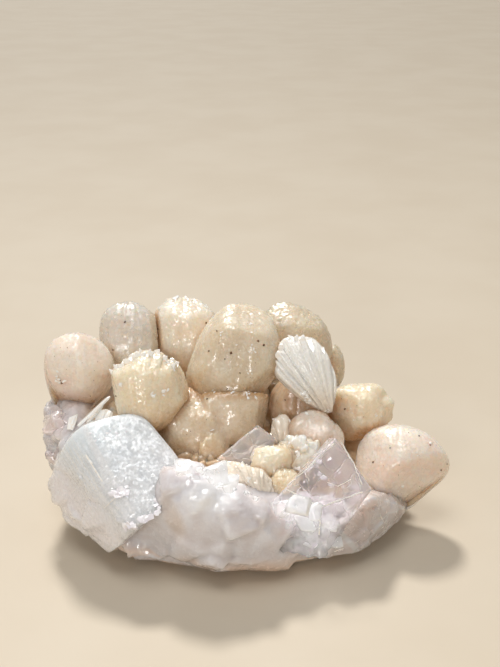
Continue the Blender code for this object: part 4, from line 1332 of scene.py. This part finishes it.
druse = []
tries = 0
while len(druse) < 150 and tries < 4000:
    tries += 1
    a, r = rng.uniform(0, 2 * math.pi), math.sqrt(rng.uniform(0.0, 1.0)) * 0.92
    x = CRUST_X + (32.0 if math.cos(a) > 0 else 36.0) * r * math.cos(a)
    y = CRUST_Y + (22.0 if math.sin(a) > 0 else 20.0) * r * math.sin(a)
    rim_here = float(periodic(RIM, a))
    z = FLOOR + (0.96 * rim_here - FLOOR) * smooth(0.35, 0.95, r)
    size = rng.uniform(1.4, 3.0)
    if y < -16 and -22 < x < 28:
        size *= 0.6
    up = np.array([0, 0, 1.0]) + rng.normal(size=3) * 0.35
    m = basis(up, rng.normal(size=3))
    druse.append(lump(rng, sunk(crust_tree, (x, y, z), 0.3 * size), (size * rng.uniform(0.8, 1.2), size * rng.uniform(0.5, 0.8), size * rng.uniform(1.0, 1.5)), 6, 9, 12.0, m))
# Half painted shade over all the small druse crystals.
make("stilbite_druse", join(druse), looks["druse"], None, marks={"painted_shade": np.full(sum(len(p) for p, _ in druse), 0.5)})

# dark grains caught on the crystals: crystal, x and y in the view
specks = []
for key, px, py in (
    ("back_centre", 158, 329), ("back_centre", 206, 323), ("back_left", 125, 322), ("back_left", 113, 350),
    ("tall", 217, 331), ("tall", 258, 341), ("tall", 264, 345), ("tall", 209, 351), ("tall", 240, 373), ("tall", 227, 389), ("tall", 265, 390),
    ("tall", 225, 359), ("tall", 231, 353), ("mid_left", 116, 396), ("low_right", 207, 399), ("left", 62, 383),
    ("far_right", 373, 462), ("far_right", 447, 464), ("far_right", 441, 470), ("far_right", 430, 445), ("far_right", 397, 505), ("far_right", 390, 448), ("far_right", 419, 436),
    ("sheaf_root", 285, 400), ("right", 345, 409),
):
    p = seen_on(tree, spot(key, px, py)[0])
    size = rng.uniform(0.13, 0.26)
    if p is not None:
        specks.append(lump(rng, p, (size * 1.3, size, size), 3, 5, 8.0))
for _ in range(60):
    key = ("tall", "far_right", "left", "low_left", "right", "back_right")[rng.integers(6)]
    reach = CRYSTALS[key][3]
    a, r = rng.uniform(0, 2 * math.pi), math.sqrt(rng.uniform(0, 0.9))
    far = float(periodic(reach, a))
    p = seated(tree, surface_point(key, far * r * math.cos(a), far * r * math.sin(a))[0])
    size = rng.uniform(0.06, 0.11)
    if p is not None:
        specks.append(lump(rng, p, (size, size, size), 3, 5, 8.0))
make("dark_grains", join(specks), looks["specks"], None)

for piece in (clear_piece, blade_piece, *(bpy.data.objects[k] for k in ("apophyllite_rim_lumps", "apophyllite_broken_foot", "apophyllite_shards"))):
    piece.visible_shadow = False

# ---------------------------------------------------------------- floor, light, camera

floor_mesh = bpy.data.meshes.new("floor")
floor_mesh.from_pydata([(-3, -2, 0), (3, -2, 0), (3, 6, 0), (-3, 6, 0)], [], [(0, 1, 2, 3)])
floor = bpy.data.objects.new("floor", floor_mesh)
bpy.context.scene.collection.objects.link(floor)
m = Nodes("pale_floor")
m.put(Base_Color=m.mix(m.ranged(m.noise(60.0, 3), 0.3, 0.7), rgb(199, 186, 166), rgb(203, 191, 172)), Roughness=0.6)
floor_mesh.materials.append(m.material)


def lamp(name, kind, place, target, power, colour, **more):
    light = bpy.data.lights.new(name, kind)
    light.energy, light.color = power, colour
    for key, value in more.items():
        setattr(light, key, value)
    obj = bpy.data.objects.new(name, light)
    obj.location = place
    obj.rotation_euler = (Vector(target) - Vector(place)).to_track_quat("-Z", "Y").to_euler()
    bpy.context.scene.collection.objects.link(obj)
    return obj


lamp("key_behind", "SUN", (-0.06, 0.30, 0.42), (0, 0, 0.02), 2.25, (1.0, 0.97, 0.925), angle=math.radians(9))
lamp("overhead", "AREA", (-0.10, -0.12, 0.70), (0, 0, 0.02), 1.75, (0.99, 0.99, 1.0), shape="DISK", size=0.35)
lamp("fill_front", "AREA", (-0.25, -0.75, 0.35), (0, 0, 0.02), 1.4, (1.0, 0.985, 0.97), shape="DISK", size=0.2)

world = bpy.data.worlds.new("soft_room")
world.use_nodes = True
world.node_tree.nodes["Background"].inputs["Color"].default_value = (*rgb(247, 246, 243), 1.0)
world.node_tree.nodes["Background"].inputs["Strength"].default_value = 0.335
bpy.context.scene.world = world
bpy.context.scene.view_settings.view_transform = "Standard"

camera_data = bpy.data.cameras.new("camera")
camera_data.lens, camera_data.sensor_width, camera_data.clip_start = 50.0, 36.0, 0.01
camera = bpy.data.objects.new("camera", camera_data)
camera.location = (0.001163, -0.205314, 0.1424)
camera.rotation_euler = (math.radians(66.0), 0.0, 0.0)
bpy.context.scene.collection.objects.link(camera)
bpy.context.scene.camera = camera
